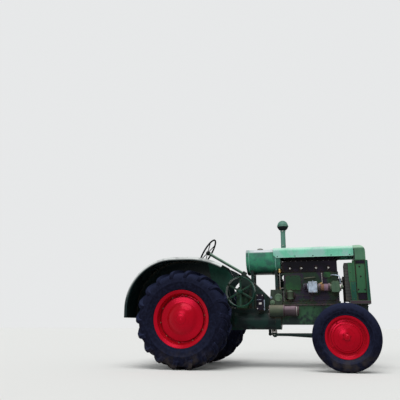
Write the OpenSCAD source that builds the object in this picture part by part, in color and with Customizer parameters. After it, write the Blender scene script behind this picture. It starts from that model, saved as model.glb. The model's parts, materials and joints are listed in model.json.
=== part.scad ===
// Standard-tread farm tractor of the 1930s to 1940s on rubber tyres.
// Millimetres. +X points forward, +Y to the tractor's left, +Z up.
// Inside the modules X is counted from the rear axle, and heights from a level 660
// under it. place() then lifts the machine onto its tyres and moves the origin to the
// ground midway between the rear of the fenders and the front tyres.

/* [Stance] */
// Distance from the rear axle to the front axle
wheelbase = 2200; // [2120:10:2300]
// Distance between the middles of the two rear tyres
rear_track = 1360; // [1340:10:1480]
// Distance between the middles of the two front tyres
front_track = 1240; // [1200:10:1320]

/* [Rear wheels] */
// Outer radius of a rear tyre at the tips of its lugs
rear_tyre_r = 680; // [670:2:690]
// Width of a rear tyre
rear_tyre_w = 340; // [320:5:360]
// Outer radius of the flange of a rear rim
rear_rim_r = 395; // [385:5:405]
// Width of a rear rim over its flanges
rear_rim_w = 312; // [300:2:316]
// Radius at which the dome pressed in the rear wheel disc ends
rear_dome_r = 206; // [190:2:212]
// Lugs on each side of a rear tyre
rear_lugs = 18; // [16:1:20]
// Height of a rear lug over the tyre's carcass
lug_h = 34; // [26:1:38]
// Width of a rear lug
lug_w = 42; // [36:2:48]
// Slant of the rear lugs from the direction of the axle, in degrees
lug_slant = 38; // [30:1:44]
// Radius of the rear axle shaft
axle_shaft_r = 45; // [38:1:55]

/* [Front wheels] */
// Outer radius of a front tyre
front_tyre_r = 444; // [436:2:450]
// Width of a front tyre
front_tyre_w = 196; // [180:2:210]
// Outer radius of the flange of a front rim
front_rim_r = 277; // [268:1:284]
// Width of a front rim over its flanges
front_rim_w = 146; // [134:2:150]
// Radius of the front wheel spindle
spindle_r = 25; // [20:1:30]
// Radius of the kingpin
kingpin_r = 18; // [14:1:20]

/* [Frame and drive line] */
// Height of the top of the front frame
frame_top_z = 865; // [850:5:880]
// Height of the bottom of the front frame
frame_bottom_z = 580; // [560:5:600]
// Half the width of the front frame over its side plates
frame_half_w = 190; // [180:2:200]
// Thickness of the frame side plates
frame_t = 18; // [12:1:24]
// Half the width of the transmission case
case_half_w = 170; // [160:2:176]
// Height of the flat top of the transmission case
case_top_z = 815; // [800:5:825]
// Radius of the round bulge on the right side of the case
bulge_r = 128; // [110:2:130]
// Radius of the drum around the differential
diff_r = 214; // [200:2:220]

/* [Engine] */
// Length of the cylinder block
block_l = 780; // [740:10:800]
// Half the width of the cylinder block
block_half_w = 130; // [110:2:140]
// Height of the top of the cylinder block
block_top_z = 1330; // [1300:5:1350]
// Height of the cylinder head with its covers
head_h = 220; // [200:5:240]
// Radius of the cooling fan
fan_r = 205; // [180:5:215]
// Radius of the stack pipe
stack_r = 36; // [30:1:42]
// Height of the stack pipe over the hood
stack_h = 300; // [200:10:400]
// Radius of the ball on the stack
ball_r = 80; // [60:2:90]

/* [Hood, tank and radiator] */
// Height of the hood's top over the covers of the cylinder head
hood_over_head = 140; // [120:5:170]
// Height of the hood's sides
hood_side_h = 152; // [130:2:170]
// Half the width of the hood
hood_half_w = 242; // [236:2:250]
// Radius of the hood's upper edges
hood_round = 58; // [40:2:70]
// Thickness of the sheet of hood and fenders
sheet = 5; // [3:1:6]
// Length of the fuel tank
tank_l = 505; // [460:5:520]
// Half the width of the fuel tank
tank_half_w = 233; // [220:1:233]
// Half the width of the radiator
radiator_half_w = 262; // [254:2:270]
// Depth of the radiator's top tank from front to back
radiator_d = 158; // [150:2:170]
// Radius of the upper front edge of the radiator's top tank
tank_nose_r = 95; // [80:5:100]
// Vertical bars in the radiator grille
grille_bars = 22; // [12:1:28]

/* [Fenders and operator's place] */
// Height of the level top of the fenders
fender_top_z = 1518; // [1500:2:1540]
// Length of the level top of the fenders
fender_flat = 210; // [180:10:240]
// Radius of the rear curve of the fenders
fender_rear_r = 715; // [700:5:730]
// Radius of the long front curve of the fenders
fender_front_r = 1100; // [1050:10:1150]
// Radius of the turned-down outer edge of the fenders
fender_edge_r = 45; // [36:1:52]
// Width of a fender's crown
fender_w = 530; // [515:5:535]
// Radius of the rolled edge of a fender
bead_r = 9; // [6:1:12]
// Height of the platform
platform_z = 846; // [840:2:870]
// Height of the rim of the seat pan
seat_z = 1255; // [1200:5:1320]
// Radius of the seat pan
seat_r = 215; // [200:5:230]
// Radius of the steering wheel
steering_r = 226; // [200:2:240]
// Slope of the steering column below the horizontal, in degrees
column_slope = 31; // [28:0.5:34]
// Radius of the belt pulley
pulley_r = 215; // [190:5:220]
// Width of the belt pulley's face
pulley_w = 150; // [120:5:155]

/* [Steering and front axle] */
// Distance of a kingpin from the middle of its tyre
kingpin_in = 90; // [86:1:100]
// Length of the tie rod arms
tie_arm = 170; // [150:5:180]
// Length of the arm that the drag link moves
drag_arm = 280; // [270:2:290]
// Length of the drop arm under the steering gear
drop_arm = 430; // [400:5:450]

/* [Hidden] */
$fn = 64;

left = 1;
right = -1;
// Radial clearance of a shaft in its bore
fit = 0.05;
// Gap between faces that meet but don't join
gap = 0.3;
// Gap between faces that turn past each other
turn_gap = 6;

// Height of the rear axle before place() lifts the machine, and of the front axle under it
rear_axle_z = 660;
lift = rear_tyre_r - rear_axle_z;
front_axle_z = front_tyre_r - lift;

// Hubs
rear_hub_y = rear_track / 2;
front_hub_y = front_track / 2;
kingpin_y = front_hub_y - kingpin_in;

// Fenders: centres of the two curves, which meet the level top, then where the front one
// ends, in degrees, and the straight drop at the rear
fender_flat_x = -130;
rear_curve = [fender_flat_x, fender_top_z - fender_rear_r];
front_curve = [fender_flat_x + fender_flat, fender_top_z - fender_front_r];
fender_front_a = 62;
fender_tail = 125;
fender_out_y = rear_hub_y + rear_tyre_w / 2 + 10;
fender_in_y = fender_out_y - fender_w;

// Ends of the whole machine
rear_end_x = fender_flat_x - fender_rear_r;
front_end_x = wheelbase + front_tyre_r;
mid_x = (rear_end_x + front_end_x) / 2;

// Drive line
drum_half_w = case_half_w + 24;
diff_half_w = case_half_w + 56;
case_rear_x = -200;
case_low_z = rear_axle_z - 140;
case_front_low_z = case_low_z + 20;
housing_end_y = 520;
housing_r = 132;
shaft_in = 150;
bulge_y = 100;
bulge_z = rear_axle_z - 20;
pto_z = rear_axle_z - 40;
pto_r = 17.5;
pto_neck_r = 20;
pto_free = 70;
pto_in_x = -120;
pto_out_x = -290;

// Front frame, engine and radiator along the machine
frame_rear_x = wheelbase - 855;
frame_front_x = wheelbase + 150;
bolster_front_x = frame_front_x + 178;
case_front_x = frame_rear_x - 105;
clutch_rear_x = case_front_x - 80;
clutch_top_z = frame_top_z + 215;
block_rear_x = frame_rear_x + 27;
block_front_x = block_rear_x + block_l;
head_top_z = block_top_z + head_h;
hood_top_z = head_top_z + hood_over_head;
skirt_z = hood_top_z - hood_side_h;
plug_z = block_top_z + 60;
plug_x = [95, 261, 473, 649];
side_y = block_half_w + 56 + gap;
radiator_rear_x = wheelbase + 178;
radiator_front_x = radiator_rear_x + radiator_d;
shell_front_x = radiator_front_x + 32;
radiator_base_z = frame_top_z + 45;
top_tank_bottom_z = hood_top_z - 220;

// Hood and tank
hood_rear_x = block_rear_x - 134;
hood_front_x = radiator_rear_x - gap;
tank_front_x = block_rear_x - 37;
tank_rear_x = tank_front_x - tank_l;
tank_top_z = hood_top_z - 15;
tank_shoulder = 132;
tank_axis_z = tank_top_z - tank_shoulder;
band_h = 4;
tank_low_z = tank_axis_z - tank_half_w + band_h;
stack_x = tank_front_x + 41;

// Fan, belt and crank pulley
fan_z = block_top_z - 135;
fan_x = wheelbase + 62;
belt_x = fan_x - 42;
crank_z = frame_top_z - 95;
pump_pulley_r = 62;
crank_pulley_r = 70;

// Pivot of the front axle
pivot_z = frame_bottom_z - 35;
pivot_r = 20;
ear_x = 62;

// Eyes of the axle beam round the kingpins
eye_low_z = front_axle_z - 26;
eye_top_z = front_axle_z + 48;
eye_r = 34;
beam_half_d = 36;

// Air cleaner beside the clutch housing
cleaner_x = frame_rear_x - 55;
cleaner_r = 62;
cleaner_y = frame_half_w + cleaner_r + gap;
cleaner_top_z = block_top_z - 68;

// Axis of the magneto and its drive
accessory_z = frame_top_z + 240;
accessory_y = -205;
magneto_l = 120;

// Steering: the column runs from its foot in the gear case back to the wheel's hub
column_dir = [cos(column_slope), 0, -sin(column_slope)];
column_l = 680;
column_foot = [tank_rear_x - 56, 0, tank_low_z + 15];
wheel_hub = column_foot - column_l * column_dir;
gear_shaft = [clutch_rear_x - 50, 0, case_top_z + 57];
gear_shaft_r = 16;
gear_half_w = 96;
arm_z = front_axle_z - 46;
drag_y = kingpin_y - drag_arm;
drag_front = [wheelbase, drag_y, arm_z];
drag_rear = [gear_shaft[0], drag_y, gear_shaft[2] - drop_arm];
drag_ball_r = 24;
drop_y = drag_y - drag_ball_r - 0.5;
tie_z = arm_z - 82;
column_r = 22;
link_pin_r = 12;

// Drawbar: its pin hole, lower face and thickness
drawbar_x = -800;
drawbar_z = rear_axle_z - 262;
drawbar_t = 28;
drawbar_pin_r = 16;

// Belt pulley
pulley_at = [clutch_rear_x - 388, -fender_in_y - 11 - pulley_w / 2, case_top_z + 229];

// Operator's place: ends of the platform, and the rear edge of the lever's foot
deck_rear_x = -560;
deck_front_x = clutch_rear_x - 730;
deck_t = 8;
lever_x = clutch_rear_x - 630;
seat_x = -420;

module place() { translate([-mid_x, 0, lift]) children(); }

// A side view profile (X, Z) carried from y0 to y1
module side_profile(y0, y1) {
    translate([0, y1, 0]) rotate([90, 0, 0]) linear_extrude(y1 - y0) children();
}

// A front view profile (Y, Z) carried from x0 to x1
module front_profile(x0, x1) {
    translate([x0, 0, 0]) rotate([90, 0, 90]) linear_extrude(x1 - x0) children();
}

module box(x, y, z) {
    translate([x[0], y[0], z[0]]) cube([x[1] - x[0], y[1] - y[0], z[1] - z[0]]);
}

// A round bar from p to q
module bar(p, q, r) {
    d = q - p;
    l = norm(d);
    translate(p) rotate([0, acos(d[2] / l), atan2(d[1], d[0])]) cylinder(r = r, h = l);
}

module rod_x(x0, x1, y, z, r) { translate([x0, y, z]) rotate([0, 90, 0]) cylinder(r = r, h = x1 - x0); }
module rod_y(y0, y1, x, z, r) { translate([x, y0, z]) rotate([-90, 0, 0]) cylinder(r = r, h = y1 - y0); }
module rod_z(z0, z1, x, y, r) { translate([x, y, z0]) cylinder(r = r, h = z1 - z0); }

// A closed profile of (radius, offset) turned about an axle: offset grows outward from the tractor
module turned(side, n = 96) {
    rotate([-90 * side, 0, 0]) rotate_extrude($fn = n) children();
}

// A rectangle, centred on Y, from height low to top, with its two upper corners rounded
module round_top(half_w, low, top, r) {
    translate([-half_w, low]) square([2 * half_w, top - low - r]);
    translate([r - half_w, low]) square([2 * (half_w - r), top - low]);
    for (y = [r - half_w, half_w - r]) translate([y, top - r]) circle(r);
}

function arc(c, r, a0, a1, n) = [for (i = [0:n]) c + r * [cos(a0 + (a1 - a0) * i / n), sin(a0 + (a1 - a0) * i / n)]];

// Drive line

module transmission_case() {
    color("darkgreen") place() difference() {
        union() {
            side_profile(-case_half_w, case_half_w) polygon([[case_rear_x + 50, case_low_z],
                [case_front_x - 540, case_low_z - 15], [case_front_x - 90, case_front_low_z],
                [case_front_x - 60, case_front_low_z], [case_front_x, case_front_low_z + 20],
                [case_front_x, case_top_z], [case_rear_x + 50, case_top_z],
                [case_rear_x, case_top_z - 55], [case_rear_x, case_low_z + 40]]);
            rod_y(-drum_half_w, drum_half_w, 0, rear_axle_z, diff_r);
            rod_y(-diff_half_w, diff_half_w, 0, rear_axle_z, diff_r - 40);
            rod_x(case_front_x - 600, case_front_x, -bulge_y, bulge_z, bulge_r);
        }
        rod_x(pto_out_x, pto_in_x + gap, 0, pto_z, pto_neck_r + fit);
    }
}

module rear_axle_housing() {
    y0 = diff_half_w + gap;
    bore = axle_shaft_r + fit;
    // Radius and distance from the middle plane: bolting flange, bell, neck and end flange
    housing = [[0, y0], [168, y0], [168, y0 + 24], [housing_r, y0 + 36], [housing_r, 325], [112, 345], [94, 420],
        [94, 470], [118, 470], [118, housing_end_y], [bore, housing_end_y], [bore, housing_end_y - shaft_in],
        [0, housing_end_y - shaft_in]];
    color("darkgreen") place() for (side = [left, right]) {
        translate([0, 0, rear_axle_z]) turned(side) polygon(housing);
    }
}

module clutch_housing() {
    x0 = case_front_x + gap;
    x1 = frame_rear_x - gap;
    color("darkgreen") place() {
        side_profile(-frame_half_w, frame_half_w) polygon([[x0, case_front_low_z + 20],
            [x1 - 15, frame_bottom_z], [x1, frame_bottom_z + 20], [x1, clutch_top_z],
            [clutch_rear_x + 20, clutch_top_z], [clutch_rear_x, case_top_z + gap],
            [x0, case_top_z + gap]]);
        rod_x(x0, frame_rear_x - 27, -bulge_y, bulge_z, bulge_r);
    }
}

module front_frame() {
    color("darkgreen") place() {
        for (side = [left, right]) {
            y = side > 0 ? [frame_half_w - frame_t, frame_half_w] : [-frame_half_w, -frame_half_w + frame_t];
            side_profile(y[0], y[1]) polygon([[frame_rear_x, frame_bottom_z], [frame_front_x - 300, frame_bottom_z],
                [frame_front_x - 210, frame_bottom_z + 70], [frame_front_x, frame_bottom_z + 120],
                [frame_front_x, frame_top_z],
                [frame_rear_x, frame_top_z]]);
            box([frame_rear_x, frame_front_x + 180], side > 0 ? [frame_half_w - 56, frame_half_w + 14]
                : [-frame_half_w - 14, -frame_half_w + 56], [frame_top_z - 16, frame_top_z]);
        }
        box([frame_rear_x, frame_front_x - 300], [-frame_half_w, frame_half_w], [frame_bottom_z, frame_bottom_z + 14]);
    }
}

module front_bolster() {
    color("darkgreen") place() difference() {
        union() {
            side_profile(-frame_half_w + frame_t + gap, frame_half_w - frame_t - gap) polygon([
                [wheelbase - 100, 640], [wheelbase + 60, 640], [frame_front_x + 150, 700],
                [bolster_front_x, 730], [bolster_front_x, frame_top_z - 16 - gap],
                [wheelbase + 75, frame_top_z - 16 - gap], [wheelbase + 75, 684], [wheelbase - 100, 684]]);
            for (x = [wheelbase - ear_x - 38, wheelbase + ear_x])
                side_profile(-60, 60) translate([x, pivot_z - 40]) square([38, 684 - pivot_z + 40]);
        }
        rod_x(wheelbase - 110, wheelbase + 110, 0, pivot_z, pivot_r + fit);
        rod_x(bolster_front_x - 118, bolster_front_x + 10, 0, crank_z, 24);
    }
}

// Engine

module engine_block() {
    // Covers on the right side: start and length along the block, lower and upper edge
    covers = [[24, 226, block_top_z - 262, block_top_z - 42], [565, 117, block_top_z - 88, block_top_z - 4],
        [36, 330, frame_top_z + 52, frame_top_z + 128], [400, 330, frame_top_z + 52, frame_top_z + 128]];
    cover_t = 14;
    color("darkgreen") place() {
        for (c = covers) box([block_rear_x + c[0], block_rear_x + c[0] + c[1]],
            [-block_half_w - cover_t, -block_half_w + 1], [c[2], c[3]]);
        box([block_rear_x, block_front_x], [-block_half_w, block_half_w], [frame_top_z - 130, block_top_z]);
        box([block_rear_x - 18, block_front_x + 14], [-frame_half_w + 30, frame_half_w - 30],
            [frame_top_z + gap, frame_top_z + 42]);
        rod_x(block_front_x, belt_x - 18, 0, crank_z, 34);
        rod_x(belt_x - 18, belt_x + 18, 0, crank_z, crank_pulley_r);
    }
}

module cylinder_head() {
    color("dimgray") place() difference() {
        union() {
            box([block_rear_x, block_front_x - 10], [-block_half_w - 12, block_half_w - 6],
                [block_top_z + gap, block_top_z + 160]);
            box([block_rear_x + 30, block_front_x - 40], [-90, 90], [block_top_z + 150, head_top_z]);
        }
        for (x = plug_x) translate([block_rear_x + x, -block_half_w - 20, plug_z]) rotate([-90, 0, 0]) {
            translate([0, 10, 0]) cylinder(r = 24, h = 64);
            translate([0, -10, 0]) cylinder(r = 24, h = 64);
        }
    }
}

module spark_plugs() {
    color("gainsboro") place() for (x = plug_x) translate([block_rear_x + x, 0, plug_z]) {
        rod_y(-block_half_w + 24, -block_half_w + 44 - gap, 0, 0, 14);
        rod_y(-block_half_w - 26, -block_half_w + 24, 0, 0, 8);
    }
}

module exhaust_manifold() {
    z = block_top_z + 90;
    x = block_rear_x + plug_x[3] - 60;
    low = [x, side_y, block_top_z - 330];
    out = [x, frame_half_w + 56, frame_top_z + 65];
    color("saddlebrown") place() {
        for (p = plug_x) rod_y(block_half_w - 6 + gap, side_y, block_rear_x + p, z, 27);
        rod_x(block_rear_x + plug_x[0] - 40, block_rear_x + plug_x[3] + 40, side_y, z, 34);
        bar([x, side_y, z], low, 25);
        translate(low) sphere(r = 27);
        bar(low, out, 25);
        translate(out) sphere(r = 27);
        bar(out, out - [0, 0, 230], 25);
    }
}

module carburettor() {
    x = block_rear_x + 367;
    color("gray") place() {
        rod_z(block_top_z - 40, block_top_z + 56 - gap, x, side_y, 24);
        rod_z(block_top_z - 150, block_top_z - 40, x, side_y, 42);
        rod_x(x - 90, x + 60, side_y, block_top_z - 60, 28);
    }
}

module air_cleaner() {
    x = block_rear_x + 277 - gap;
    color("darkgreen") place() {
        rod_z(cleaner_top_z - 362, cleaner_top_z - 22, cleaner_x, cleaner_y, cleaner_r);
        rod_z(cleaner_top_z - 22, cleaner_top_z, cleaner_x, cleaner_y, cleaner_r - 18);
        bar([cleaner_x, cleaner_y, cleaner_top_z - 62], [x - 10, side_y, block_top_z - 62], 20);
        rod_x(x - 15, x, side_y, block_top_z - 60, 26);
    }
}

module air_stack() {
    z = hood_top_z + gap;
    ball_z = hood_top_z + stack_h + ball_r - 12;
    duct_r = 30;
    // The duct from the pipe's foot under the hood down to the air cleaner
    duct_y = 200;
    duct = [[stack_x, 0, z - 60], [stack_x, duct_y, skirt_z + 32], [stack_x, duct_y, skirt_z - 118],
        [cleaner_x, cleaner_y, cleaner_top_z + 48], [cleaner_x, cleaner_y, cleaner_top_z + gap]];
    color("seagreen") place() {
        rod_z(z - 60, hood_top_z + stack_h, stack_x, 0, stack_r);
        rod_z(z, z + 18, stack_x, 0, stack_r + 16);
        translate([stack_x, 0, ball_z]) sphere(r = ball_r);
        rod_z(ball_z - 18, ball_z - 6, stack_x, 0, ball_r + 6);
        for (i = [0:3]) bar(duct[i], duct[i + 1], duct_r);
        for (i = [0:3]) translate(duct[i]) sphere(r = duct_r + 2);
    }
}

module water_pump() {
    color("darkgreen") place() {
        rod_x(block_front_x, belt_x - 24, 0, fan_z, 44);
        rod_x(belt_x - 24, fan_x + 30, 0, fan_z, 12);
    }
}

module fan() {
    color("darkslategray") place() translate([0, 0, fan_z]) {
        difference() {
            union() {
                rod_x(belt_x - 16, belt_x + 16, 0, 0, pump_pulley_r);
                rod_x(belt_x + 16, fan_x + 22, 0, 0, 34);
                for (i = [0:3]) rotate([90 * i + 45, 0, 0]) translate([fan_x, 0, 20])
                    rotate([0, 0, 28]) translate([-3, -44, 0]) cube([6, 88, fan_r - 20]);
            }
            rod_x(belt_x - 30, fan_x + 26, 0, 0, 12 + fit);
        }
    }
}

module fan_belt() {
    slack = 0.4;
    cord = 9;
    color("black") place() front_profile(belt_x - 11, belt_x + 11) difference() {
        hull() {
            translate([0, fan_z]) circle(pump_pulley_r + slack + cord, $fn = 48);
            translate([0, crank_z]) circle(crank_pulley_r + slack + cord, $fn = 48);
        }
        hull() {
            translate([0, fan_z]) circle(pump_pulley_r + slack, $fn = 48);
            translate([0, crank_z]) circle(crank_pulley_r + slack, $fn = 48);
        }
    }
}

module magneto() {
    color("silver") place() {
        x = block_rear_x + 358;
        z = accessory_z;
        rod_x(x - 66, x, accessory_y - 13, z + 10, 46);
        box([x, x + magneto_l], [accessory_y - 70, accessory_y + 45], [z - 53, z + 77]);
        box([x, x + magneto_l], [accessory_y - 70, -block_half_w - gap], [z - 75, z - 53]);
    }
}

module governor_drive() {
    color("darkgreen") place() {
        x = block_rear_x + 678;
        z = accessory_z - 3;
        // Coupling from the magneto with its two flanges, gear box, and the disc at its front
        rod_x(x - 200 + gap, x, accessory_y, z, 46);
        for (at = [x - 178, x - 44]) rod_x(at, at + 24, accessory_y, z, 54);
        box([x, x + 110], [accessory_y - 67, -block_half_w - gap], [z - 72, z + 70]);
        box([x + 14, x + 96], [accessory_y - 50, accessory_y + 50], [z + 60, z + 84]);
        rod_x(x + 110, x + 132, accessory_y, z, 52);
        rod_x(x + 132, x + 152, accessory_y, z, 30);
    }
}

module oil_filter() {
    color("olivedrab") place() {
        x = block_rear_x + 90;
        z = frame_top_z + 79;
        rod_z(z, z + 112, x, -188, 42);
        rod_z(z - 20, z, x, -188, 26);
        box([x - 22, x + 22], [-188, -block_half_w - 14 - gap], [z + 16, z + 48]);
    }
}

module starter() {
    color("rosybrown") place() {
        y = -frame_half_w - 82 - gap;
        x = frame_rear_x + 35;
        z = crank_z + 2;
        // Drive end, motor and its cap
        rod_x(x - 214, x, y, z, 82);
        rod_x(x, x + 182, y, z, 68);
        rod_x(x + 182, x + 200, y, z, 58);
    }
}

module side_box() {
    color("dimgray") place() {
        x = [case_front_x - 255, case_front_x - 152];
        z = case_top_z;
        box(x, [-330, -240], [z - 29, z + 197]);
        box(x, [-240, -case_half_w - gap], [z - 25, z - 3]);
    }
}

// Hood, tank and radiator

// Outline of the tank in the front view, smaller by inset all round: a half-round bottom and rounded shoulders
module barrel_outline(inset, r) {
    w = tank_half_w - inset;
    h = tank_shoulder - inset;
    translate([0, tank_axis_z]) {
        intersection() {
            circle(w, $fn = 96);
            translate([-w, -w]) square([2 * w, w + 1]);
        }
        round_top(w, 0, h, r);
    }
}

module fuel_tank() {
    color("seagreen") place() {
        front_profile(tank_rear_x, tank_front_x) barrel_outline(band_h, 60);
        for (x = [tank_rear_x + 8, hood_rear_x - 40]) front_profile(x, x + 26) barrel_outline(0, 64);
        rod_z(tank_top_z - 10, tank_top_z + 34, tank_rear_x + 190, 0, 42);
    }
}

module tank_cradle() {
    // Saddle position along the machine, and height of its feet
    saddles = [[tank_rear_x + 60, case_top_z], [tank_front_x - 90, clutch_top_z]];
    color("darkgreen") place() for (c = saddles) front_profile(c[0], c[0] + 40) {
        difference() {
            translate([-150, tank_low_z - 14]) square([300, 110]);
            translate([0, tank_axis_z]) circle(tank_half_w - band_h + gap, $fn = 96);
        }
        for (y = [-140, 100]) translate([y, c[1] + gap]) square([40, tank_low_z - 13 - c[1]]);
    }
}

module hood() {
    color("mediumseagreen") place() difference() {
        front_profile(hood_rear_x, hood_front_x) difference() {
            round_top(hood_half_w, skirt_z, hood_top_z, hood_round);
            round_top(hood_half_w - sheet, skirt_z - 10, hood_top_z - sheet, hood_round - sheet);
        }
        side_profile(-hood_half_w - 1, hood_half_w + 1) polygon([[hood_rear_x - 1, skirt_z - 1],
            [hood_rear_x + 44, skirt_z - 1], [hood_rear_x - 1, skirt_z + 44]]);
        rod_z(hood_top_z - 20, hood_top_z + 20, stack_x, 0, stack_r + 1);
    }
}

module radiator_tanks() {
    top_z = hood_top_z + 4;
    color("seagreen") place() box([radiator_rear_x - 90, shell_front_x],
        [-radiator_half_w, radiator_half_w], [frame_top_z + gap, radiator_base_z - gap]);
    color("seagreen") place() intersection() {
        front_profile(radiator_rear_x, radiator_front_x)
            round_top(radiator_half_w, top_tank_bottom_z, top_z, hood_round);
        side_profile(-radiator_half_w - 1, radiator_half_w + 1) {
            translate([radiator_rear_x, top_tank_bottom_z])
                square([radiator_d - tank_nose_r, top_z - top_tank_bottom_z]);
            translate([radiator_rear_x + 1, top_tank_bottom_z])
                square([radiator_d - 1, top_z - top_tank_bottom_z - tank_nose_r]);
            translate([radiator_front_x - tank_nose_r, top_z - tank_nose_r]) circle(tank_nose_r);
        }
    }
}

// The core, with the square shroud that guides the air from it to the fan
module radiator_core() {
    w = radiator_half_w - 40;
    wall = 8;
    x = [fan_x - 26, radiator_rear_x + 31];
    z = [radiator_base_z, top_tank_bottom_z - 30];
    color("dimgray") place() {
        box([radiator_rear_x + 30, shell_front_x - 52], [-w, w], [radiator_base_z, top_tank_bottom_z - gap]);
        difference() {
            box(x, [-w, w], z);
            box([x[0] - 1, x[1] - 1], [-w + wall, w - wall], z + [wall, -wall]);
        }
    }
}

module radiator_sides() {
    y_in = radiator_half_w - 40 + gap;
    y_out = radiator_half_w;
    // Bottom and top of the pressed panel and of the rear plate, and where that plate is split
    panel_z = [radiator_base_z + 107, top_tank_bottom_z - 52];
    plate_z = [radiator_base_z, top_tank_bottom_z - 30];
    split_z = radiator_base_z + 258;
    rear_x = radiator_rear_x;
    color("darkgreen") place() for (side = [0, 1]) mirror([0, side, 0]) {
        side_profile(y_in, y_out) polygon([[shell_front_x - 44, radiator_base_z],
            [shell_front_x, radiator_base_z], [shell_front_x - 10, top_tank_bottom_z - gap],
            [shell_front_x - 44, top_tank_bottom_z - gap]]);
        box([rear_x + 16, shell_front_x - 52], [y_in, y_out - 4], panel_z);
        box([rear_x - 30, shell_front_x - 42], [y_in, y_in + 12], [radiator_base_z, top_tank_bottom_z - gap]);
        side_profile(y_in, y_out - 8) polygon([[rear_x - 64, radiator_base_z], [rear_x + 4, radiator_base_z],
            [rear_x + 4, split_z], [rear_x - 80, split_z]]);
        side_profile(y_in, y_out - 14) polygon([[rear_x - 80, split_z - 1], [rear_x + 4, split_z - 1],
            [rear_x + 4, plate_z[1]], [rear_x - 90, plate_z[1]], [rear_x - 88, split_z + 120]]);
    }
}

module radiator_grille() {
    half_w = radiator_half_w - 40;
    w = 2 * half_w - 16;
    pitch = w / grille_bars;
    frame_w = 30;
    low = radiator_base_z + 2;
    high = top_tank_bottom_z - 2;
    color("darkgreen") place() front_profile(shell_front_x - 26, shell_front_x - 18) difference() {
        translate([-half_w, low]) square([2 * half_w, high - low]);
        for (i = [0:grille_bars - 1]) translate([-w / 2 + pitch * (i + 0.3), low + frame_w])
            square([0.4 * pitch, high - low - 2 * frame_w]);
    }
}

// Steering

module steering_gear() {
    color("darkslategray") place() difference() {
        union() {
            side_profile(-gear_half_w, gear_half_w) polygon([[tank_rear_x - 110, case_top_z + gap],
                [tank_rear_x - 130, tank_low_z - 134], [tank_rear_x - 85, tank_low_z + 6],
                [tank_rear_x - 30, tank_low_z + 4], [clutch_rear_x - 2, case_top_z + 145],
                [clutch_rear_x - 2, case_top_z + gap]]);
            rod_y(gear_half_w - 1, drop_y - 17, gear_shaft[0], gear_shaft[2], 40);
            bar(wheel_hub + (column_l - 40) * column_dir, wheel_hub + (column_l + 20) * column_dir, column_r + 16);
        }
        rod_y(drop_y - 90, drop_y, gear_shaft[0], gear_shaft[2], gear_shaft_r + fit);
        bar(wheel_hub + (column_l - 60) * column_dir, wheel_hub + (column_l + gap) * column_dir, column_r + gap);
    }
}

module steering_column() {
    color("seagreen") place() difference() {
        bar(wheel_hub + 40 * column_dir, wheel_hub + column_l * column_dir, column_r);
        bar(wheel_hub + 30 * column_dir, wheel_hub + 160 * column_dir, 11 + fit);
    }
}

module steering_wheel() {
    color("darkslategray") place() translate(wheel_hub) rotate([0, 90 + column_slope, 0]) {
        rotate_extrude($fn = 96) translate([steering_r, 0]) circle(13, $fn = 24);
        translate([0, 0, -14]) cylinder(r = 32, h = 48);
        translate([0, 0, 30]) cylinder(r = 11, h = 120);
        for (i = [0:3]) rotate([0, 0, 90 * i + 45]) rotate([0, 90, 0])
            cylinder(r = 7, h = steering_r - 4);
    }
}

module drop_arm() {
    color("darkslategray") place() {
        side_profile(drop_y - 16, drop_y) {
            c = [gear_shaft[0], gear_shaft[2]];
            translate(c) circle(44);
            translate([c[0] - 20, c[1] - drop_arm]) square([40, drop_arm]);
            translate([c[0], c[1] - drop_arm]) circle(24);
        }
        rod_y(drop_y - 80, drop_y, gear_shaft[0], gear_shaft[2], gear_shaft_r);
    }
}

module drag_link() {
    color("darkslategray") place() difference() {
        union() {
            bar(drag_front, drag_rear, 14);
            translate(drag_rear) sphere(r = drag_ball_r);
            translate(drag_front - [0, 0, 20]) cylinder(r = 28, h = 40);
        }
        translate(drag_front - [0, 0, 30]) cylinder(r = link_pin_r + fit, h = 60);
    }
}

module tie_rod() {
    x = wheelbase - tie_arm;
    color("darkslategray") place() difference() {
        union() {
            rod_y(-kingpin_y, kingpin_y, x, tie_z, 14);
            for (side = [left, right]) rod_z(tie_z - 18, tie_z + 18, x, side * kingpin_y, 26);
        }
        for (side = [left, right]) rod_z(tie_z - 30, tie_z + 30, x, side * kingpin_y, link_pin_r + fit);
    }
}

// Front axle

module front_axle() {
    low = eye_low_z + 2;
    high = eye_top_z - 2;
    color("darkslategray") place() difference() {
        union() {
            rod_x(wheelbase - 104, wheelbase + 104, 0, pivot_z, pivot_r);
            // Arched beam: half its outline, from the lower edge in the middle round to the upper one
            for (side = [0, 1]) mirror([0, side, 0]) front_profile(wheelbase - beam_half_d, wheelbase + beam_half_d)
                polygon([[-1, pivot_z - 75], [120, pivot_z - 75], [320, low], [kingpin_y - 10, low],
                    [kingpin_y - 10, high], [330, high + 10], [130, pivot_z + 45], [-1, pivot_z + 45]]);
            for (side = [left, right]) rod_z(eye_low_z, eye_top_z, wheelbase, side * kingpin_y, eye_r);
            rod_x(wheelbase - ear_x + gap, wheelbase + ear_x - gap, 0, pivot_z, 44);
        }
        for (side = [left, right])
            rod_z(eye_low_z - 8, eye_top_z + 8, wheelbase, side * kingpin_y, kingpin_r + fit);
    }
}

module radius_rods() {
    z = front_axle_z + 16;
    x0 = case_front_x - 35;
    x1 = wheelbase - beam_half_d - gap;
    rod_y = 290;
    color("darkslategray") place() {
        for (side = [left, right]) {
            bar([x0 + 11, side * 20, z], [x1 - 10, side * rod_y, z], 20);
            box([x1 - 20, x1], [side * rod_y - 30, side * rod_y + 30], [z - 22, z + 26]);
        }
        translate([x0, 0, z]) sphere(r = 38);
        box([x0 - 45, x0 + 30], [-18, 18], [z, case_front_low_z - gap]);
    }
}

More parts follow.
